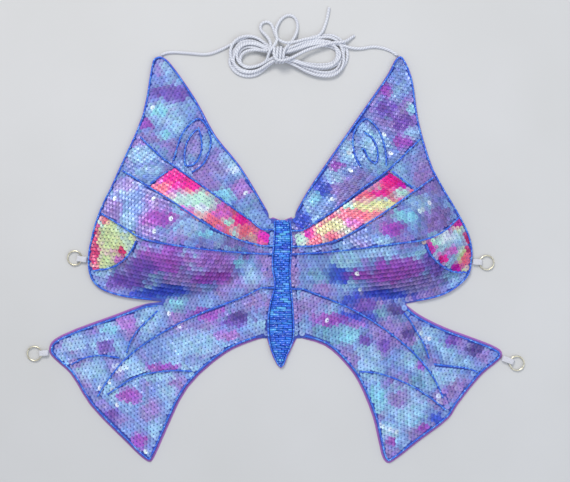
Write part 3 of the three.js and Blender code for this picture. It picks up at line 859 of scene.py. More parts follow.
def scatterTree(name):
    # Puts one item on each point, facing and running as the point's attributes say.
    tree = bpy.data.node_groups.new(name, "GeometryNodeTree")
    face = tree.interface
    for label, kind in (("Geometry", "Geometry"), ("Item", "Object"), ("Finish", "Material")):
        face.new_socket(label, in_out="INPUT", socket_type="NodeSocket" + kind)
    for label, value in (("Size", 1.0), ("Size Spread", 0.0), ("Lift", 0.0), ("Tilt", 0.0), ("Wobble", 0.0)):
        face.new_socket(label, in_out="INPUT", socket_type="NodeSocketFloat").default_value = value
    face.new_socket("Seed", in_out="INPUT", socket_type="NodeSocketInt")
    face.new_socket("Geometry", in_out="OUTPUT", socket_type="NodeSocketGeometry")

    def wired(kind, wires, **settings):
        # A node with its settings and what runs into it; the result is what comes out.
        made = addNode(tree, kind, **settings)
        for socket, source in wires.items():
            tree.links.new(source, made.inputs[socket])
        return made.outputs

    def attribute(label):
        made = addNode(tree, "GeometryNodeInputNamedAttribute", data_type="FLOAT_VECTOR")
        made.inputs["Name"].default_value = label
        return made.outputs["Attribute"]

    def scaledVector(vector, factor):
        return wired("ShaderNodeVectorMath", {0: vector, "Scale": factor}, operation="SCALE")[0]

    entry = wired("NodeGroupInput", {})
    facing = attribute("facing")
    align = "FunctionNodeAlignRotationToVector"
    raised = wired(align, {"Vector": facing}, axis="Z", pivot_axis="AUTO")
    turned = wired(align, {"Vector": attribute("running"), "Rotation": raised[0]}, axis="X", pivot_axis="Z")
    ends = {0: combine(tree, entry["Wobble"], -1.0), 1: entry["Wobble"], "Seed": entry["Seed"]}
    wobble = wired("FunctionNodeRandomValue", ends, data_type="FLOAT_VECTOR")
    lean = wired("ShaderNodeCombineXYZ", {"Y": entry["Tilt"]})
    total = wired("ShaderNodeVectorMath", {0: wobble[0], 1: lean[0]})
    euler = wired("FunctionNodeEulerToRotation", {0: total[0]})
    rotate = wired("FunctionNodeRotateRotation", {"Rotation": turned[0], "Rotate By": euler[0]},
                   rotation_space="LOCAL")
    ends = {2: combine(tree, 1.0, entry["Size Spread"], "SUBTRACT"),
            3: combine(tree, 1.0, entry["Size Spread"], "ADD"), "Seed": entry["Seed"]}
    size = wired("FunctionNodeRandomValue", ends, data_type="FLOAT")
    shape = scaledVector(attribute("stretch"), combine(tree, size[1], entry["Size"]))
    lifted = scaledVector(facing, entry["Lift"])
    moved = wired("GeometryNodeSetPosition", {"Geometry": entry["Geometry"], "Offset": lifted})
    points = wired("GeometryNodeMeshToPoints", {"Mesh": moved["Geometry"]})
    item = wired("GeometryNodeObjectInfo", {"Object": entry["Item"]})
    placed = wired("GeometryNodeInstanceOnPoints", {"Points": points["Points"], "Instance": item["Geometry"],
                                                    "Rotation": rotate[0], "Scale": shape})
    realized = wired("GeometryNodeRealizeInstances", {"Geometry": placed["Instances"]})
    finish = wired("GeometryNodeSetMaterial", {"Geometry": realized["Geometry"], "Material": entry["Finish"]})
    wired("NodeGroupOutput", {"Geometry": finish["Geometry"]})
    return tree


scatter = scatterTree("itemsOnPoints")


def scattered(name, spots, item, material, body, slot, replaced=(), **sizes):
    # spots: list of (place, facing, running, stretch, tint); the result is one plain mesh on one body.
    mesh = bpy.data.meshes.new(name + "_spots")
    mesh.from_pydata([tuple(s[0]) for s in spots], [], [])
    for k, label in enumerate(("facing", "running", "stretch"), 1):
        data = mesh.attributes.new(label, "FLOAT_VECTOR", "POINT").data
        data.foreach_set("vector", [c for s in spots for c in s[k]])
    data = mesh.attributes.new("tint", "FLOAT_COLOR", "POINT").data
    data.foreach_set("color", [c for s in spots for c in s[4]])
    holder = newObject(name, mesh)
    modifier = holder.modifiers.new("scatter", "NODES")
    modifier.node_group = scatter
    sockets = {s.name: s.identifier for s in scatter.interface.items_tree if s.in_out == "INPUT"}
    modifier[sockets["Item"]] = item
    modifier[sockets["Finish"]] = material
    for label, value in sizes.items():
        modifier[sockets[label.replace("_", " ")]] = value
    graph = bpy.context.evaluated_depsgraph_get()
    made = holder.evaluated_get(graph)
    result = bpy.data.meshes.new_from_object(made, preserve_all_data_layers=True, depsgraph=graph)
    result.name = name
    holder.modifiers.clear()
    holder.data = result
    bpy.data.meshes.remove(mesh)
    for label in ("facing", "running", "stretch"):
        if label in result.attributes:
            result.attributes.remove(result.attributes[label])
    if body in ("left fold", "right fold"):
        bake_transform(holder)
    else:
        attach(holder, body)
    if replaced:
        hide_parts(*replaced)
    print(name, len(spots), "items,", len(result.polygons), "faces")
    return holder


def hiddenItem(name, points, faces, smooth=False):
    # An item for scattering; it is taken away before the end.
    piece = newObject(name, meshFrom(name, points, faces, smooth))
    items.append(piece)
    return piece


items = []


def cupSequin(radius, hole, depth, thick, sides=8):
    # A round faceted cup with a hole, closed all round.
    points, faces = [], []
    for r, z in ((radius, depth), (hole, thick), (hole, 0.0)):
        for k in range(sides):
            a = 2 * math.pi * (k + 0.5) / sides
            points.append((r * math.cos(a), r * math.sin(a), z))
    for ring, onward in ((0, 1), (1, 2), (2, 0)):
        for k in range(sides):
            n = (k + 1) % sides
            faces.append((ring * sides + k, ring * sides + n, onward * sides + n, onward * sides + k))
    return points, faces


def turnedShape(profile, sides, length=1, radius=1):
    # A closed solid turned about X; profile holds a place along it and a radius for each ring.
    points, faces = [], []
    for x, r in profile:
        for k in range(sides):
            a = 2 * math.pi * k / sides
            points.append((x * length, r * radius * math.cos(a), r * radius * math.sin(a)))
    for ring in range(len(profile) - 1):
        near, far = ring * sides, (ring + 1) * sides
        for k in range(sides):
            n = (k + 1) % sides
            faces.append((near + n, far + n, far + k, near + k))
    last = (len(profile) - 1) * sides
    faces.append(tuple(range(sides))[::-1])
    faces.append(tuple(last + k for k in range(sides)))
    return points, faces


# Sequins.

sequinSet = {
    "radius": 2.55 * mm, "hole": 0.5 * mm, "depth": 0.5 * mm, "thick": 0.12 * mm,
    "pitch": 3.1 * mm, "rowGap": 3.55 * mm, "offCloth": 1.05 * mm, "tilt": 0.2, "wobble": 0.1,
    "clearOfVein": 0.8 * mm, "clearOfUpper": 2.7 * mm, "clearOfLower": 4.3 * mm, "seed": 11,
    "gridMiddle": 0.02, "gridHeight": 420 * mm, "gridHalf": 68,  # rows of candidates that cover a whole wing
    "cupSag": 1.1, "sagStart": 30 * mm, "loose": 0.12 * mm,
}

tones = {
    "periwinkle": (122, 152, 214), "lilac": (154, 130, 200), "light": (160, 204, 234),
    # cyan and white: painted highlights and glints on sequins
    "cyanHighlight": (144, 222, 236), "whiteGlint": (232, 246, 255), "purple": (112, 70, 178),
    # deep: a deep blue; its patches under the cups are painted shade and the cups' painted cast shadow on the
    # lower wings
    "magenta": (166, 66, 186), "deepBlueAndShade": (36, 66, 200),
    "dusk": (74, 52, 138), "teal": (112, 168, 198), "pinkLilac": (184, 124, 212),
    "hot": (255, 32, 160), "coral": (252, 122, 146), "mint": (196, 244, 226), "cream": (234, 234, 172),
    "spotCream": (216, 234, 168), "crimson": (214, 38, 108), "paleCyan": (176, 214, 240),
    "orchid": (226, 120, 216), "fuchsia": (226, 20, 178),
}

# Patches of colour: tone, x, y, half width and half height, in millimetres from patchOrigin. The small white
# patches are painted glints and the cyan patches are painted highlights on sequins that catch the light.
patchOrigin = (middleX, -26.0 * mm)
# The deep blue patches under the cups paint shade, and the cups' cast shadow on the lower wings.
bluePatches = {
    "left": [
        ("light", -97, 190, 9, 8), ("purple", -95, 168, 20, 9), ("light", -103, 152, 19, 12),
        ("cyanHighlight", -105, 153, 7, 5), ("magenta", -118, 143, 8, 6), ("lilac", -76, 124, 8, 12),
        ("lilac", -54, 108, 13, 13), ("whiteGlint", -40, 105, 6, 6), ("light", -44, 112, 10, 8),
        ("cyanHighlight", -49, 81, 10, 7), ("pinkLilac", -33, 87, 12, 9), ("light", -122, 117, 16, 8),
        ("cyanHighlight", -100, 132, 6, 5), ("lilac", -134, 90, 14, 8), ("light", -112, 103, 12, 6),
        ("magenta", -101, 60, 19, 7), ("lilac", -148, 66, 14, 12), ("periwinkle", -124, 72, 12, 8),
        ("light", -77, 52, 15, 8), ("cyanHighlight", -64, 48, 6, 4), ("lilac", -40, 40, 18, 4),
        ("magenta", -101, 27, 26, 12), ("purple", -118, 22, 14, 9), ("pinkLilac", -58, 26, 26, 10),
        ("purple", -132, 9, 22, 8), ("deepBlueAndShade", -98, 0, 20, 6), ("deepBlueAndShade", -120, -4, 18, 4),
        ("cyanHighlight", -38, 24, 6, 4), ("magenta", -60, 12, 18, 6), ("light", -26, 12, 9, 8),
        ("teal", -91, -13, 11, 7), ("cyanHighlight", -92, -10, 6, 4), ("lilac", -132, 28, 8, 5),
        ("magenta", -62, -20, 17, 6), ("purple", -38, -26, 13, 6), ("dusk", -36, -22, 9, 4),
        ("lilac", -22, -8, 9, 8), ("pinkLilac", -134, -28, 15, 7), ("cyanHighlight", -148, -33, 9, 5),
        ("light", -179, -47, 12, 8), ("purple", -151, -48, 9, 5), ("light", -165, -70, 13, 9),
        ("whiteGlint", -138, -67, 7, 5), ("light", -71, -46, 23, 12), ("periwinkle", -106, -52, 14, 10),
        ("magenta", -102, -66, 14, 3.5), ("magenta", -131, -90, 12, 7), ("purple", -147, -108, 9, 7),
        ("magenta", -122, -129, 9, 7), ("light", -96, -88, 9, 7), ("lilac", -112, -104, 10, 8),
        ("light", -104, -74, 16, 4), ("pinkLilac", -46, -38, 12, 5), ("light", -108, -142, 6, 6),
        ("light", -116, -30, 9, 9), ("lilac", -176, -62, 8, 5),
    ],
    "right": [
        ("light", 106, -100, 22, 20), ("cyanHighlight", 112, -110, 10, 8), ("deepBlueAndShade", 36, 88, 8, 12),
        ("deepBlueAndShade", 48, 14, 16, 8), ("teal", 46, -38, 22, 10), ("deepBlueAndShade", 66, -24, 20, 7),
        ("cyanHighlight", 113, 157, 5, 5), ("purple", 90, 157, 11, 9), ("purple", 104, 144, 10, 8),
        ("magenta", 90, 172, 6, 6), ("periwinkle", 100, 186, 10, 10), ("magenta", 106, 128, 10, 7),
        ("light", 84, 122, 7, 14), ("light", 112, 136, 8, 6), ("whiteGlint", 59, 119, 3.5, 3.5),
        ("light", 56, 126, 8, 6), ("cyanHighlight", 30, 78, 8, 7), ("lilac", 58, 88, 17, 12),
        ("light", 44, 98, 9, 7), ("deepBlueAndShade", 18, 60, 8, 8), ("magenta", 48, 108, 6, 4),
        ("periwinkle", 36, 70, 12, 8), ("lilac", 122, 96, 10, 9), ("light", 118, 72, 13, 8),
        ("whiteGlint", 117, 68, 3, 3), ("cyanHighlight", 102, 63, 12, 6), ("magenta", 93, 52, 10, 6),
        ("periwinkle", 70, 50, 12, 8), ("light", 76, 33, 9, 5), ("magenta", 97, 18, 26, 12),
        ("purple", 132, 24, 14, 12), ("lilac", 120, 8, 20, 6), ("deepBlueAndShade", 87, -3, 26, 6),
        ("deepBlueAndShade", 60, -10, 10, 6), ("periwinkle", 28, 22, 15, 11), ("teal", 30, 12, 15, 7),
        ("periwinkle", 20, 10, 8, 8), ("magenta", 66, 14, 12, 5), ("light", 130, 46, 9, 5),
        ("lilac", 134, 64, 9, 9), ("teal", 86, -19, 8, 6), ("dusk", 98, -17, 8, 6),
        ("purple", 71, -13, 11, 6), ("lilac", 24, -14, 16, 10), ("magenta", 41, -26, 15, 6),
        ("pinkLilac", 65, -29, 9, 4), ("cyanHighlight", 58, -40, 8, 8), ("light", 74, -56, 14, 9),
        ("purple", 72, -43, 5, 5), ("purple", 88, -48, 5, 5), ("dusk", 108, -38, 6, 6),
        ("teal", 118, -52, 6, 9), ("magenta", 120, -65, 4, 4), ("teal", 117, -80, 8, 8),
        ("light", 124, -38, 10, 8), ("whiteGlint", 119, -36, 2.6, 2.6), ("whiteGlint", 126, -41, 2.6, 2.6),
        ("purple", 146, -44, 8, 4), ("dusk", 166, -52, 8, 5), ("light", 182, -50, 7, 5),
        ("light", 140, -74, 15, 9), ("whiteGlint", 136, -93, 2.8, 2.8), ("cyanHighlight", 82, -92, 9, 12),
        ("lilac", 100, -94, 9, 8), ("light", 110, -108, 9, 9), ("deepBlueAndShade", 133, -110, 6, 5),
        ("magenta", 124, -119, 9, 4), ("whiteGlint", 86, -117, 3, 3), ("whiteGlint", 93, -120, 3, 3),
        ("whiteGlint", 99, -123, 3, 3), ("magenta", 93, -131, 5, 5), ("lilac", 60, -60, 8, 8),
    ],
}
pinkPatches = {
    "left": [
        ("hot", -91, 94, 14, 9), ("coral", -103, 86, 12, 5), ("mint", -80, 76, 16, 7),
        ("mint", -66, 74, 12, 8), ("whiteGlint", -68, 69, 7, 5), ("coral", -50, 60, 14, 7),
        ("orchid", -52, 64, 8, 4), ("mint", -46, 58, 5, 4), ("hot", -34, 60, 9, 5), ("coral", -30, 50, 11, 5),
        ("cream", -24, 46, 4, 3), ("fuchsia", -15, 46, 9, 6), ("hot", -74, 88, 9, 4),
    ],
    "right": [
        ("hot", 94, 92, 16, 8), ("fuchsia", 104, 88, 6, 5), ("mint", 101, 82, 8, 5), ("coral", 70, 80, 12, 4),
        ("cream", 72, 71, 12, 5), ("hot", 84, 82, 9, 4), ("cream", 88, 72, 14, 4), ("coral", 58, 64, 14, 6),
        ("orchid", 60, 58, 8, 4), ("cream", 46, 56, 9, 6), ("cream", 34, 51, 8, 6), ("fuchsia", 24, 49, 6, 6),
        ("coral", 30, 44, 6, 4), ("mint", 14, 43, 6, 6), ("coral", 44, 47, 8, 3),
    ],
}
spotPatches = {
    "left": [
        ("crimson", -161, 52, 6, 12), ("crimson", -160, 33, 5, 12), ("crimson", -157, 20, 7, 6),
        ("spotCream", -144, 44, 13, 16), ("crimson", -134, 34, 5, 3), ("spotCream", -150, 24, 8, 6),
        ("coral", -150, 60, 7, 3),
    ],
    "right": [
        ("fuchsia", 147, 57, 6, 5), ("crimson", 160, 42, 5, 12), ("coral", 157, 25, 6, 7),
        ("fuchsia", 149, 18, 6, 5), ("fuchsia", 124, 35, 5, 6), ("hot", 136, 28, 6, 5),
        ("paleCyan", 140, 42, 12, 11), ("whiteGlint", 138, 46, 8, 7), ("orchid", 144, 34, 7, 4),
        ("mint", 128, 42, 5, 4),
    ],
}
patchBlend = {"outer": 1.25, "inner": 0.55, "blue": 0.86, "pink": 0.95, "spot": 0.95, "ragged": 0.14}
ground = {"cloudScale": 0.05, "cloudDepth": 1.6, "fineScale": 0.16, "fineDepth": 0.45, "loose": 0.12,
          "seats": {"left": 3.1, "right": 7.7}, "strayGlints": 0.004, "shade": (0.92, 1.07), "drift": 7}
fieldPatches = {"blue": bluePatches, "pink": pinkPatches, "spot": spotPatches}
fieldGround = {"blue": ("periwinkle", "lilac", "light"), "pink": ("coral", "mint", "orchid"),
               "spot": ("spotCream", "orchid", "paleCyan")}


def toneAt(kind, side, x, y, draw):
    # Ground tones drift in clouds; each patch is laid over them with a soft, ragged edge.
    px, py = (x - patchOrigin[0]) / mm, (y - patchOrigin[1]) / mm
    g, seat, ragged = ground, ground["seats"][side], patchBlend["ragged"]
    cloud = noise.noise(Vector((px * g["cloudScale"], py * g["cloudScale"], seat))) * g["cloudDepth"]
    cloud = (cloud + draw.uniform(-g["loose"], g["loose"])) * g["cloudDepth"]
    fine = noise.noise(Vector((px * g["fineScale"], py * g["fineScale"], seat + 20))) * g["fineDepth"]
    first, second, third = (np.array(tones[t], float) for t in fieldGround[kind])
    high, low = max(0.0, min(1.0, cloud)), max(0.0, min(1.0, -cloud))
    colour = first * (1 - high) + third * high
    colour = colour * (1 - low) + second * low
    for tone, cx, cy, rx, ry in fieldPatches[kind][side]:
        d = math.hypot((px - cx) / rx, (py - cy) / ry) + fine + draw.uniform(-ragged, ragged)
        if d < patchBlend["outer"]:
            w = min(1.0, (patchBlend["outer"] - d) / (patchBlend["outer"] - patchBlend["inner"]))
            w = soft(w) * patchBlend[kind]
            colour = colour * (1 - w) + np.array(tones[tone], float) * w
    # A few random blue sequins are turned white: painted glints.
    if kind == "blue" and draw.random() < g["strayGlints"]:
        colour = np.array(tones["whiteGlint"], float)
    colour = colour * draw.uniform(*g["shade"])
    colour = colour + np.array([draw.uniform(-g["drift"], g["drift"]) for _ in range(3)])
    return fromScreen(*[float(c) for c in np.clip(colour, 0, 255)])


sortedLines = {}


def lineAt(line, t, key=0):
    # The line's other coordinate where one coordinate is t, run straight on past its ends.
    if (id(line), key) not in sortedLines:
        sortedLines[(id(line), key)] = sorted((p[key], p[1 - key]) for p in line)
    pts = sortedLines[(id(line), key)]
    if t <= pts[0][0]:
        a, b = pts[0], pts[min(3, len(pts) - 1)]
    elif t >= pts[-1][0]:
        a, b = pts[-1], pts[-min(4, len(pts))]
    else:
        return float(np.interp(t, [p[0] for p in pts], [p[1] for p in pts]))
    slope = (b[1] - a[1]) / (b[0] - a[0]) if abs(b[0] - a[0]) > 1e-9 else 0
    return a[1] + (t - a[0]) * slope


def cellOf(side, x, y, notch):
    lines = veinLines[side]
    out = outward[side]
    if y > lineAt(lines["shoulder_vein"], x):
        return "tip"
    if y > lineAt(lines["panel_vein"], x):
        beyond = (x - lineAt(lines["panel_end_vein"], y, 1)) * out > 0
        return "shoulderEnd" if beyond else "panel"
    if y > lineAt(lines["middle_vein"], x):
        return "middle"
    inner = lines["wing_spot_vein"]
    spotStart = min(abs(p.x) for p in inner)
    if abs(x) > spotStart - 1 * mm and y > lineAt(inner, x):
        return "spot"
    if y > lineAt(lines["lower_long_vein"], x):
        if y < notch and (x - lineAt(lines["lower_outer_vein"], y, 1)) * out > 0:
            return "lowerOuter" if y > lineAt(lines["lower_tip_vein"], x) else "lowerTip"
        return "cup"
    return "lowerField" if y > lineAt(lines["lower_hem_vein"], x) else "hemField"


# Row direction in degrees on the left wing; the right wing's rows mirror it.
rowWays = {"tip": -52, "shoulderEnd": 39, "panel": -35, "middle": -20, "spot": 62, "cup": 0, "lowerOuter": 10,
           "lowerTip": 6, "lowerField": 20, "hemField": 22}
cellKinds = {"panel": "pink", "spot": "spot"}


def sequinMaterial():
    material, tree, shader = startMaterial("sequinFoil", Metallic=0.2, Coat_Weight=0.35, Coat_Roughness=0.2)
    tint = addNode(tree, "ShaderNodeAttribute", attribute_name="tint").outputs["Color"]
    coords = objectCoords(tree)
    film = noiseValue(tree, coords, 420, 2)
    stops = [(0.25, (0.78, 0.74, 0.96, 1)), (0.55, (1, 1, 1, 1)), (0.8, (0.92, 1.0, 1.0, 1))]
    pearl = ramp(tree, film, stops)
    colour = mixColour(tree, tint, pearl, 0.8, "MULTIPLY")
    surfaced(tree, shader, colour, film, (0.3, 0.52), noiseValue(tree, coords, 700, 2), 0.00012)
    return material


def sequinSpots(side, draw):
    s = sequinSet
    edgeTree = treeOfEdges(wingOutline[side])
    veinTree = treeOf([[(p.x, p.y) for p in line] for line in veinLines[side].values()], 0.5 * mm)
    outline = wingOutline[side]
    notch = notchLine(side)
    middle = Vector(((min(p.x for p in outline) + max(p.x for p in outline)) / 2, s["gridMiddle"]))
    rows = int(s["gridHeight"] / s["rowGap"])
    cells = {}
    for cell, way in rowWays.items():
        angle = math.radians(way if side == "left" else 180 - way)
        along = Vector((math.cos(angle), math.sin(angle))) * -outward[side]
        across = Vector((-along.y, along.x))
        spots, candidates = [], []
        for j in range(-rows // 2, rows // 2):
            for i in range(-s["gridHalf"], s["gridHalf"] + 1):
                shift = 0.5 if j % 2 else 0.0
                place = middle + along * (i + shift) * s["pitch"] + across * (j * s["rowGap"])
                if cell == "cup":
                    place.y += s["cupSag"] * max(0.0, abs(place.x - middleX) - s["sagStart"]) ** 2
                candidates.append(place)
        keep = inside(outline, [p.x for p in candidates], [p.y for p in candidates])
        for p, k in zip(candidates, keep):
            if not k or cellOf(side, p.x, p.y, notch) != cell:
                continue
            if reachTo(veinTree, p.x, p.y) < s["clearOfVein"]:
                continue
            clear = s["clearOfUpper"] if p.y > notch + 1 * mm else s["clearOfLower"]
            if reachTo(edgeTree, p.x, p.y) < clear:
                continue
            x, y = (c + draw.uniform(-s["loose"], s["loose"]) for c in (p.x, p.y))
            place, normal = clothPoint(side, x, y, s["offCloth"])
            tint = toneAt(cellKinds.get(cell, "blue"), side, x, y, draw)
            spots.append((place, normal, (along.x, along.y, 0), (1, 1, 1), tint))
        cells[cell] = spots
    return cells


def buildSequins():
    s = sequinSet
    item = hiddenItem("sequinItem", *cupSequin(s["radius"], s["hole"], s["depth"], s["thick"]))
    foil = sequinMaterial()
    groups = {
        "upper": (["tip", "shoulderEnd", "middle", "cup", "lowerOuter", "lowerTip"], "blue_sequins"),
        "panel": (["panel"], "pink_sequins"),
        "spot": (["spot"], "spot_sequins"),
        "lower": (["lowerField", "hemField"], "blue_sequins"),
    }
    for side in ("left", "right"):
        draw = random.Random(s["seed"] + (side == "right"))
        cells = sequinSpots(side, draw)
        for label, (members, slot) in groups.items():
            spots = [spot for cell in members for spot in cells[cell]]
            scattered(f"{side}_{label}_sequin_field", spots, item, foil, side + "_wing", slot,
                      (f"{side}_{label}_sequins",), Tilt=s["tilt"], Wobble=s["wobble"], Size_Spread=0.02,
                      Seed=s["seed"])
    return item, foil


sequinItem, sequinFoil = buildSequins()
print("sequins sewn")

# Beaded veins and edges.

beadSet = {
    "radius": 0.92 * mm, "length": 1.56 * mm, "pitch": 1.4 * mm, "veinRise": 3.4 * mm, "edgeRise": 2.5 * mm,
    "loose": 0.07, "wobble": 0.06, "spread": 0.06, "seed": 5,
    "tones": [(40, 108, 226), (34, 94, 214), (58, 128, 236), (98, 164, 244), (46, 104, 222)],
}
beadProfile = ((-0.5, 0.45), (-0.28, 0.92), (0.28, 0.92), (0.5, 0.45))


def beadMaterial(name, speck):
    material, tree, shader = startMaterial(name, Coat_Weight=0.7, Coat_Roughness=0.08, IOR=1.52)
    tint = addNode(tree, "ShaderNodeAttribute", attribute_name="tint").outputs["Color"]
    coords = objectCoords(tree)
    cloudy = noiseValue(tree, coords, speck, 2)
    depth = ramp(tree, cloudy, [(0.3, (0.74, 0.78, 0.92, 1)), (0.7, (1, 1, 1, 1))])
    colour = mixColour(tree, tint, depth, 1.0, "MULTIPLY")
    surfaced(tree, shader, colour, cloudy, (0.12, 0.34), cloudy, 0.00008)
    return material


def beadSpots(side, line, rise, draw):
    spots = []
    # The CAD line has long straights: a curve through it gives a fair run of beads.
    run = splineThrough([Vector((p.x, p.y)) for p in line], beadSet["pitch"])
    for i, p in enumerate(run):
        a, b = run[max(i - 1, 0)], run[min(i + 1, len(run) - 1)]
        place, normal = clothPoint(side, p.x, p.y, rise)
        front, _ = clothPoint(side, b.x, b.y, rise)
        back, _ = clothPoint(side, a.x, a.y, rise)
        along = (front - back).normalized()
        tone = draw.choice(beadSet["tones"])
        tint = fromScreen(*[min(255, max(0, c + draw.uniform(-10, 10))) for c in tone])
        place += Vector((draw.uniform(-beadSet["loose"], beadSet["loose"]),
                         draw.uniform(-beadSet["loose"], beadSet["loose"]), 0)) * mm
        spots.append((place, normal, along, (1, 1, 1), tint))
    return spots


def scatterBeads(name, spots, body, seed, replaced=()):
    scattered(name, spots, beadItem, veinGlass, body, "vein_beads", replaced, Wobble=beadSet["wobble"],
              Size_Spread=beadSet["spread"], Seed=seed)


def buildBeads():
    for side in ("left", "right", "body"):
        draw = random.Random(beadSet["seed"])
        body = "root" if side == "body" else side + "_wing"
        prefix = "" if side == "body" else side + "_"
        lines = dict(edgeLines[side])
        if side != "body":
            lines.update(veinLines[side])
        for name, line in lines.items():
            rise = beadSet["edgeRise"] if "edge" in name else beadSet["veinRise"]
            spots = beadSpots(side, line, rise, draw)
            scatterBeads(prefix + name + "_beads", spots, body, beadSet["seed"], (prefix + name,))


beadItem = hiddenItem("beadItem", *turnedShape(beadProfile, 7, beadSet["length"], beadSet["radius"]), True)
veinGlass = beadMaterial("veinGlass", 900)
buildBeads()
print("veins and edges beaded")

# The body's bugle beads.

bugleSet = {"radius": 1.02 * mm, "pitch": 1.86 * mm, "low": 2.9 * mm, "crown": 1.3 * mm, "seed": 23,
            "tailClear": 2.6 * mm, "cordClear": 1.1 * mm, "endGap": 0.25 * mm,
            "narrow": 1.5 * mm, "single": 4 * mm, "topGap": 0.4 * mm, "cutWave": 0.09, "slant": 0.07,
            "loose": 0.05, "tailInset": 1.5 * mm, "tailGap": 0.5 * mm,
            "tones": [(50, 126, 234), (42, 112, 224), (66, 148, 240), (104, 182, 246), (34, 96, 210)]}
bugleProfile = ((-0.5, 0.55), (-0.47, 0.96), (0.0, 1.0), (0.47, 0.96), (0.5, 0.55))


def bodySpan(y, leftLine, rightLine):
    # The room for bugle beads at this height: between the edge cords, and within the tail below them.
    sides = zip(bodyOutline, bodyOutline[1:] + bodyOutline[:1])
    crossings = [a.x + (b.x - a.x) * (y - a.y) / (b.y - a.y) for a, b in sides if (a.y > y) != (b.y > y)]
    if len(crossings) < 2:
        return 0, 0
    xa, xb = min(crossings) + bugleSet["tailClear"], max(crossings) - bugleSet["tailClear"]
    if y > min(p.y for p in leftLine):
        xa = lineAt(leftLine, y, 1) + bugleSet["cordClear"]
    if y > min(p.y for p in rightLine):
        xb = lineAt(rightLine, y, 1) - bugleSet["cordClear"]
    return xa, xb


def buildBody():
    s = bugleSet
    draw = random.Random(s["seed"])
    item = hiddenItem("bugleItem", *turnedShape(bugleProfile, 8), True)
    glass = beadMaterial("bugleGlass", 600)
    leftLine = edgeLines["body"]["body_left_edge_cord"]
    rightLine = edgeLines["body"]["body_right_edge_cord"]
    low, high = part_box("body_beads")
    spots = []
    tailEnd = min(p.y for p in bodyOutline)
    rows = int((high.y - tailEnd) / s["pitch"])
    for j in range(rows + 1):
        y = high.y - s["topGap"] - j * s["pitch"]
        xa, xb = bodySpan(y, leftLine, rightLine)
        width = xb - xa
        if width < s["narrow"]:
            continue
        wave = s["cutWave"] * math.sin(j * 0.55) + draw.uniform(-s["loose"], s["loose"])
        cuts = [0.0, 0.5 + wave, 1.0] if j % 2 else [0.0, 0.27 + wave, 0.75 + wave, 1.0]
        if width < s["single"]:
            cuts = [0.0, 1.0]
        for a, b in zip(cuts, cuts[1:]):
            x = xa + width * (a + b) / 2
            length = width * (b - a) - s["endGap"]
            off = abs((a + b) / 2 - 0.5) * 2
            z = s["low"] + s["crown"] * (1 - off * off) + draw.uniform(-0.1, 0.12) * mm
            tone = draw.choice(s["tones"])
            tint = fromScreen(*[min(255, max(0, c + draw.uniform(-12, 12))) for c in tone])
            slant = s["slant"] * math.sin(j * 0.7 + 0.8 * x / s["pitch"])
            slant += draw.uniform(-s["loose"], s["loose"])
            way = Vector((1, slant, -s["crown"] * 1.1 * ((a + b) - 1) / (width / 2))).normalized()
            face = Vector((0, 0, 1)) - way * way.z
            spots.append((Vector((x, y + draw.uniform(-0.12, 0.12) * mm, z)), face.normalized(), way,
                          (length, s["radius"], s["radius"]), tint))
    scattered("body_bugle_beads", spots, item, glass, "root", "bugle_beads", ("body_beads",), Wobble=0.02,
              Seed=s["seed"])
    buildStrip(low, high, {"left": leftLine, "right": rightLine})
    # The edge cord carries on round the tail.
    stop = min(min(p.y for p in leftLine), min(p.y for p in rightLine)) - s["tailGap"]
    tail = [p for p in drawnIn(bodyOutline, lambda p: s["tailInset"]) if p.y < stop]
    tail.sort(key=lambda p: p.x)
    ends = [min(leftLine, key=lambda p: p.y).to_2d(), min(rightLine, key=lambda p: p.y).to_2d()]
    run = [ends[0], *tail, ends[1]]
    spots = beadSpots("body", run, beadSet["edgeRise"], random.Random(4))
    scatterBeads("body_tail_beads", spots, "root", bugleSet["seed"])


stripSet = {"columns": (1.9 * mm, 4.8 * mm), "stagger": 0.7 * mm, "low": 12 * mm, "high": 1 * mm,
            "rise": 1.85 * mm, "veinClear": 1.5 * mm, "sideClear": 0.3 * mm, "hemClear": 4.2 * mm,
            "beadClear": 1.2 * mm, "size": 0.9, "bendFrom": 4.2 * mm, "bendTo": 0.4 * mm}


def buildStrip(low, high, cordLines):
    # Sequins on the strip between the body's edge cords and the folds, and the veins' last beads there.
    s = stripSet
    draw = random.Random(bugleSet["seed"] + 1)
    for side, line in cordLines.items():
        strip, stubs = [], []
        out = outward[side]
        ends = stubEnds(side)
        j = 0
        y = low.y + s["low"]
        while y < high.y - s["high"]:
            for column in s["columns"]:
                x = lineAt(line, y, 1) + out * (column + (j % 2) * s["stagger"])
                far = any(abs(y - end.y) < s["veinClear"] for end in ends)
                if inside(bodyOutline, [x + out * s["sideClear"]], [y - s["hemClear"]])[0] and not far:
                    tint = toneAt("blue", side, x, y, draw)
                    stretch = (s["size"], s["size"], 1)
                    strip.append((Vector((x, y, s["rise"])), (0, 0, 1), (-out, 0, 0), stretch, tint))
            y += sequinSet["rowGap"]
            j += 1
        for x, y in ((end.x, end.y) for end in ends):
            stop = lineAt(line, y, 1) + out * s["beadClear"]
            while (x - stop) * out > 0:
                x -= out * beadSet["pitch"]
                tint = fromScreen(*draw.choice(beadSet["tones"]))
                z = layers["baseLow"] + beadSet["veinRise"]
                stubs.append((Vector((x, y, z)), (0, 0, 1), (out, 0, 0), (1, 1, 1), tint))
        scattered(side + "_side_sequins", strip, sequinItem, sequinFoil, side + " fold", "blue_sequins", (),
                  Tilt=0.12, Wobble=0.06, Seed=bugleSet["seed"])
        scatterBeads(side + "_vein_ends", stubs, side + " fold", bugleSet["seed"])


def stubEnds(side):
    # Where the veins that run to the body stop beside the fold.
    ends = []
    for name in ("shoulder_vein", "panel_vein", "middle_vein", "lower_long_vein"):
        ends.append(min(veinLines[side][name], key=lambda p: abs(p.x - middleX)))
    return ends


buildBody()
print("body beaded")

# Ribbon tabs and rings.

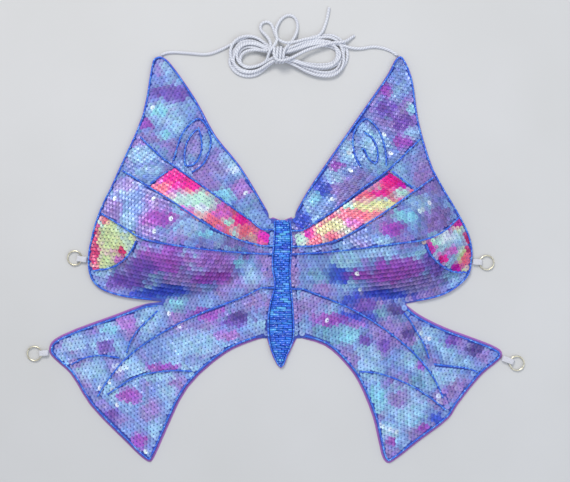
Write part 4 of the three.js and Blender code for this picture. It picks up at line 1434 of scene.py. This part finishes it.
tabSet = {"ringWire": 0.62 * mm, "cadWire": 0.65 * mm, "ringRound": 56, "wireSides": 12, "edge": 0.08 * mm}


def ribbonMaterial():
    material, tree, shader = startMaterial("satinRibbon", Sheen_Weight=0.4, Sheen_Roughness=0.3)
    coords = objectCoords(tree)
    ribs = waveValue(tree, coords, 900, "X", 0.3)
    cloudy = noiseValue(tree, coords, 300)
    colour = shades(tree, ribs, (206, 206, 214), (244, 244, 248), (0.0, 1.0))
    surfaced(tree, shader, colour, cloudy, (0.35, 0.6), ribs, 0.00012)
    return material


def ringMaterial():
    material, tree, shader = startMaterial("paleGold", Metallic=1.0)
    worn = noiseValue(tree, objectCoords(tree), 500)
    colour = shades(tree, worn, (206, 198, 168), (240, 234, 212))
    surfaced(tree, shader, colour, worn, (0.18, 0.4), worn, 0.00004)
    return material


def buildRibbon(name, satin):
    bm = mergedCopy(name + "_ribbon_tab")
    bmesh.ops.dissolve_limit(bm, angle_limit=math.radians(1), verts=bm.verts, edges=bm.edges)
    sharp = [e for e in bm.edges if len(e.link_faces) == 2 and e.calc_face_angle(0) > math.radians(60)]
    bmesh.ops.bevel(bm, geom=sharp, offset=tabSet["edge"], segments=2, profile=0.6, affect="EDGES")
    bmesh.ops.triangulate(bm, faces=[f for f in bm.faces if len(f.verts) > 4])
    mesh = bpy.data.meshes.new(name + "_ribbon")
    bm.to_mesh(mesh)
    bm.free()
    smoothed(mesh)
    mesh.set_sharp_from_angle(angle=math.radians(40))
    fitted(name + "_ribbon", mesh, satin, name + "_tab", name + "_ribbon_tab")


def buildRing(name, gold):
    low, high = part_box(name + "_ring")
    centre = (low + high) / 2
    reach = (high.x - low.x) / 2 - tabSet["cadWire"]
    n, sides = tabSet["ringRound"], tabSet["wireSides"]
    verts, faces = [], []
    for i in range(n):
        turn = 2 * math.pi * i / n
        p = centre + Vector((math.cos(turn), math.sin(turn), 0)) * reach
        radial = (p - centre).normalized()
        for k in range(sides):
            a = 2 * math.pi * k / sides
            verts.append(p + (radial * math.cos(a) + Vector((0, 0, 1)) * math.sin(a)) * tabSet["ringWire"])
            m, j = (k + 1) % sides, (i + 1) % n
            faces.append((i * sides + k, j * sides + k, j * sides + m, i * sides + m))
    mesh = meshFrom(name + "_round_ring", verts, faces, True)
    fitted(name + "_round_ring", mesh, gold, name + "_ring", name + "_ring")


def buildTabs():
    satin, gold = ribbonMaterial(), ringMaterial()
    for name in ("left_upper", "left_lower", "right_upper", "right_lower"):
        buildRibbon(name, satin)
        buildRing(name, gold)


buildTabs()
print("tabs and rings hung")

# Hem stitches on the lower edges.

stitchSet = {"pitch": 3.2 * mm, "length": 1.9 * mm, "thread": 0.16 * mm, "inset": 1.1 * mm, "rise": 0.58 * mm,
             "notchClear": 3 * mm, "foldClear": 20 * mm}


def buildStitches():
    item = hiddenItem("stitchItem", *turnedShape(bugleProfile, 6), True)
    thread, tree, shader = startMaterial("hemThread", Roughness=0.7)
    twist = noiseValue(tree, objectCoords(tree), 1500, 1)
    colour = shades(tree, twist, (120, 84, 190), (178, 140, 226))
    surfaced(tree, shader, colour, twist, (0.55, 0.8), twist, 0.00005)
    for side in ("left", "right"):
        notch = notchLine(side)
        ring = drawnIn(wingOutline[side], lambda p: stitchSet["inset"])
        run = evenSteps([tuple(p) for p in ring] + [tuple(ring[0])], stitchSet["pitch"])
        spots = []
        for i in range(1, len(run) - 1):
            p = run[i]
            if p.y > notch - stitchSet["notchClear"] or abs(p.x - middleX) < stitchSet["foldClear"]:
                continue
            along = (run[i + 1] - run[i - 1]).normalized()
            spots.append((Vector((p.x, p.y, stitchSet["rise"])), (0, 0, 1), (along.x, along.y, 0),
                          (stitchSet["length"], stitchSet["thread"], stitchSet["thread"]), (1, 1, 1, 1)))
        scattered(side + "_hem_stitches", spots, item, thread, side + "_wing", "lining_cloth", (), Seed=1)


buildStitches()

# Floor, and the end.


def buildFloor():
    size = studio["floorSize"]
    corners = [(-size, -size, 0), (size, -size, 0), (size, size, 0), (-size, size, 0)]
    mesh = meshFrom("paleFloor", corners, [(0, 1, 2, 3)])
    material, tree, shader = startMaterial("paleFloor", Roughness=0.9)
    cloudy = noiseValue(tree, objectCoords(tree), 6)
    tree.links.new(shades(tree, cloudy, (203, 203, 201), (208, 208, 207)), shader.inputs["Base Color"])
    newObject("paleFloor", mesh, material)


buildFloor()
for item in items:
    bpy.data.objects.remove(item)
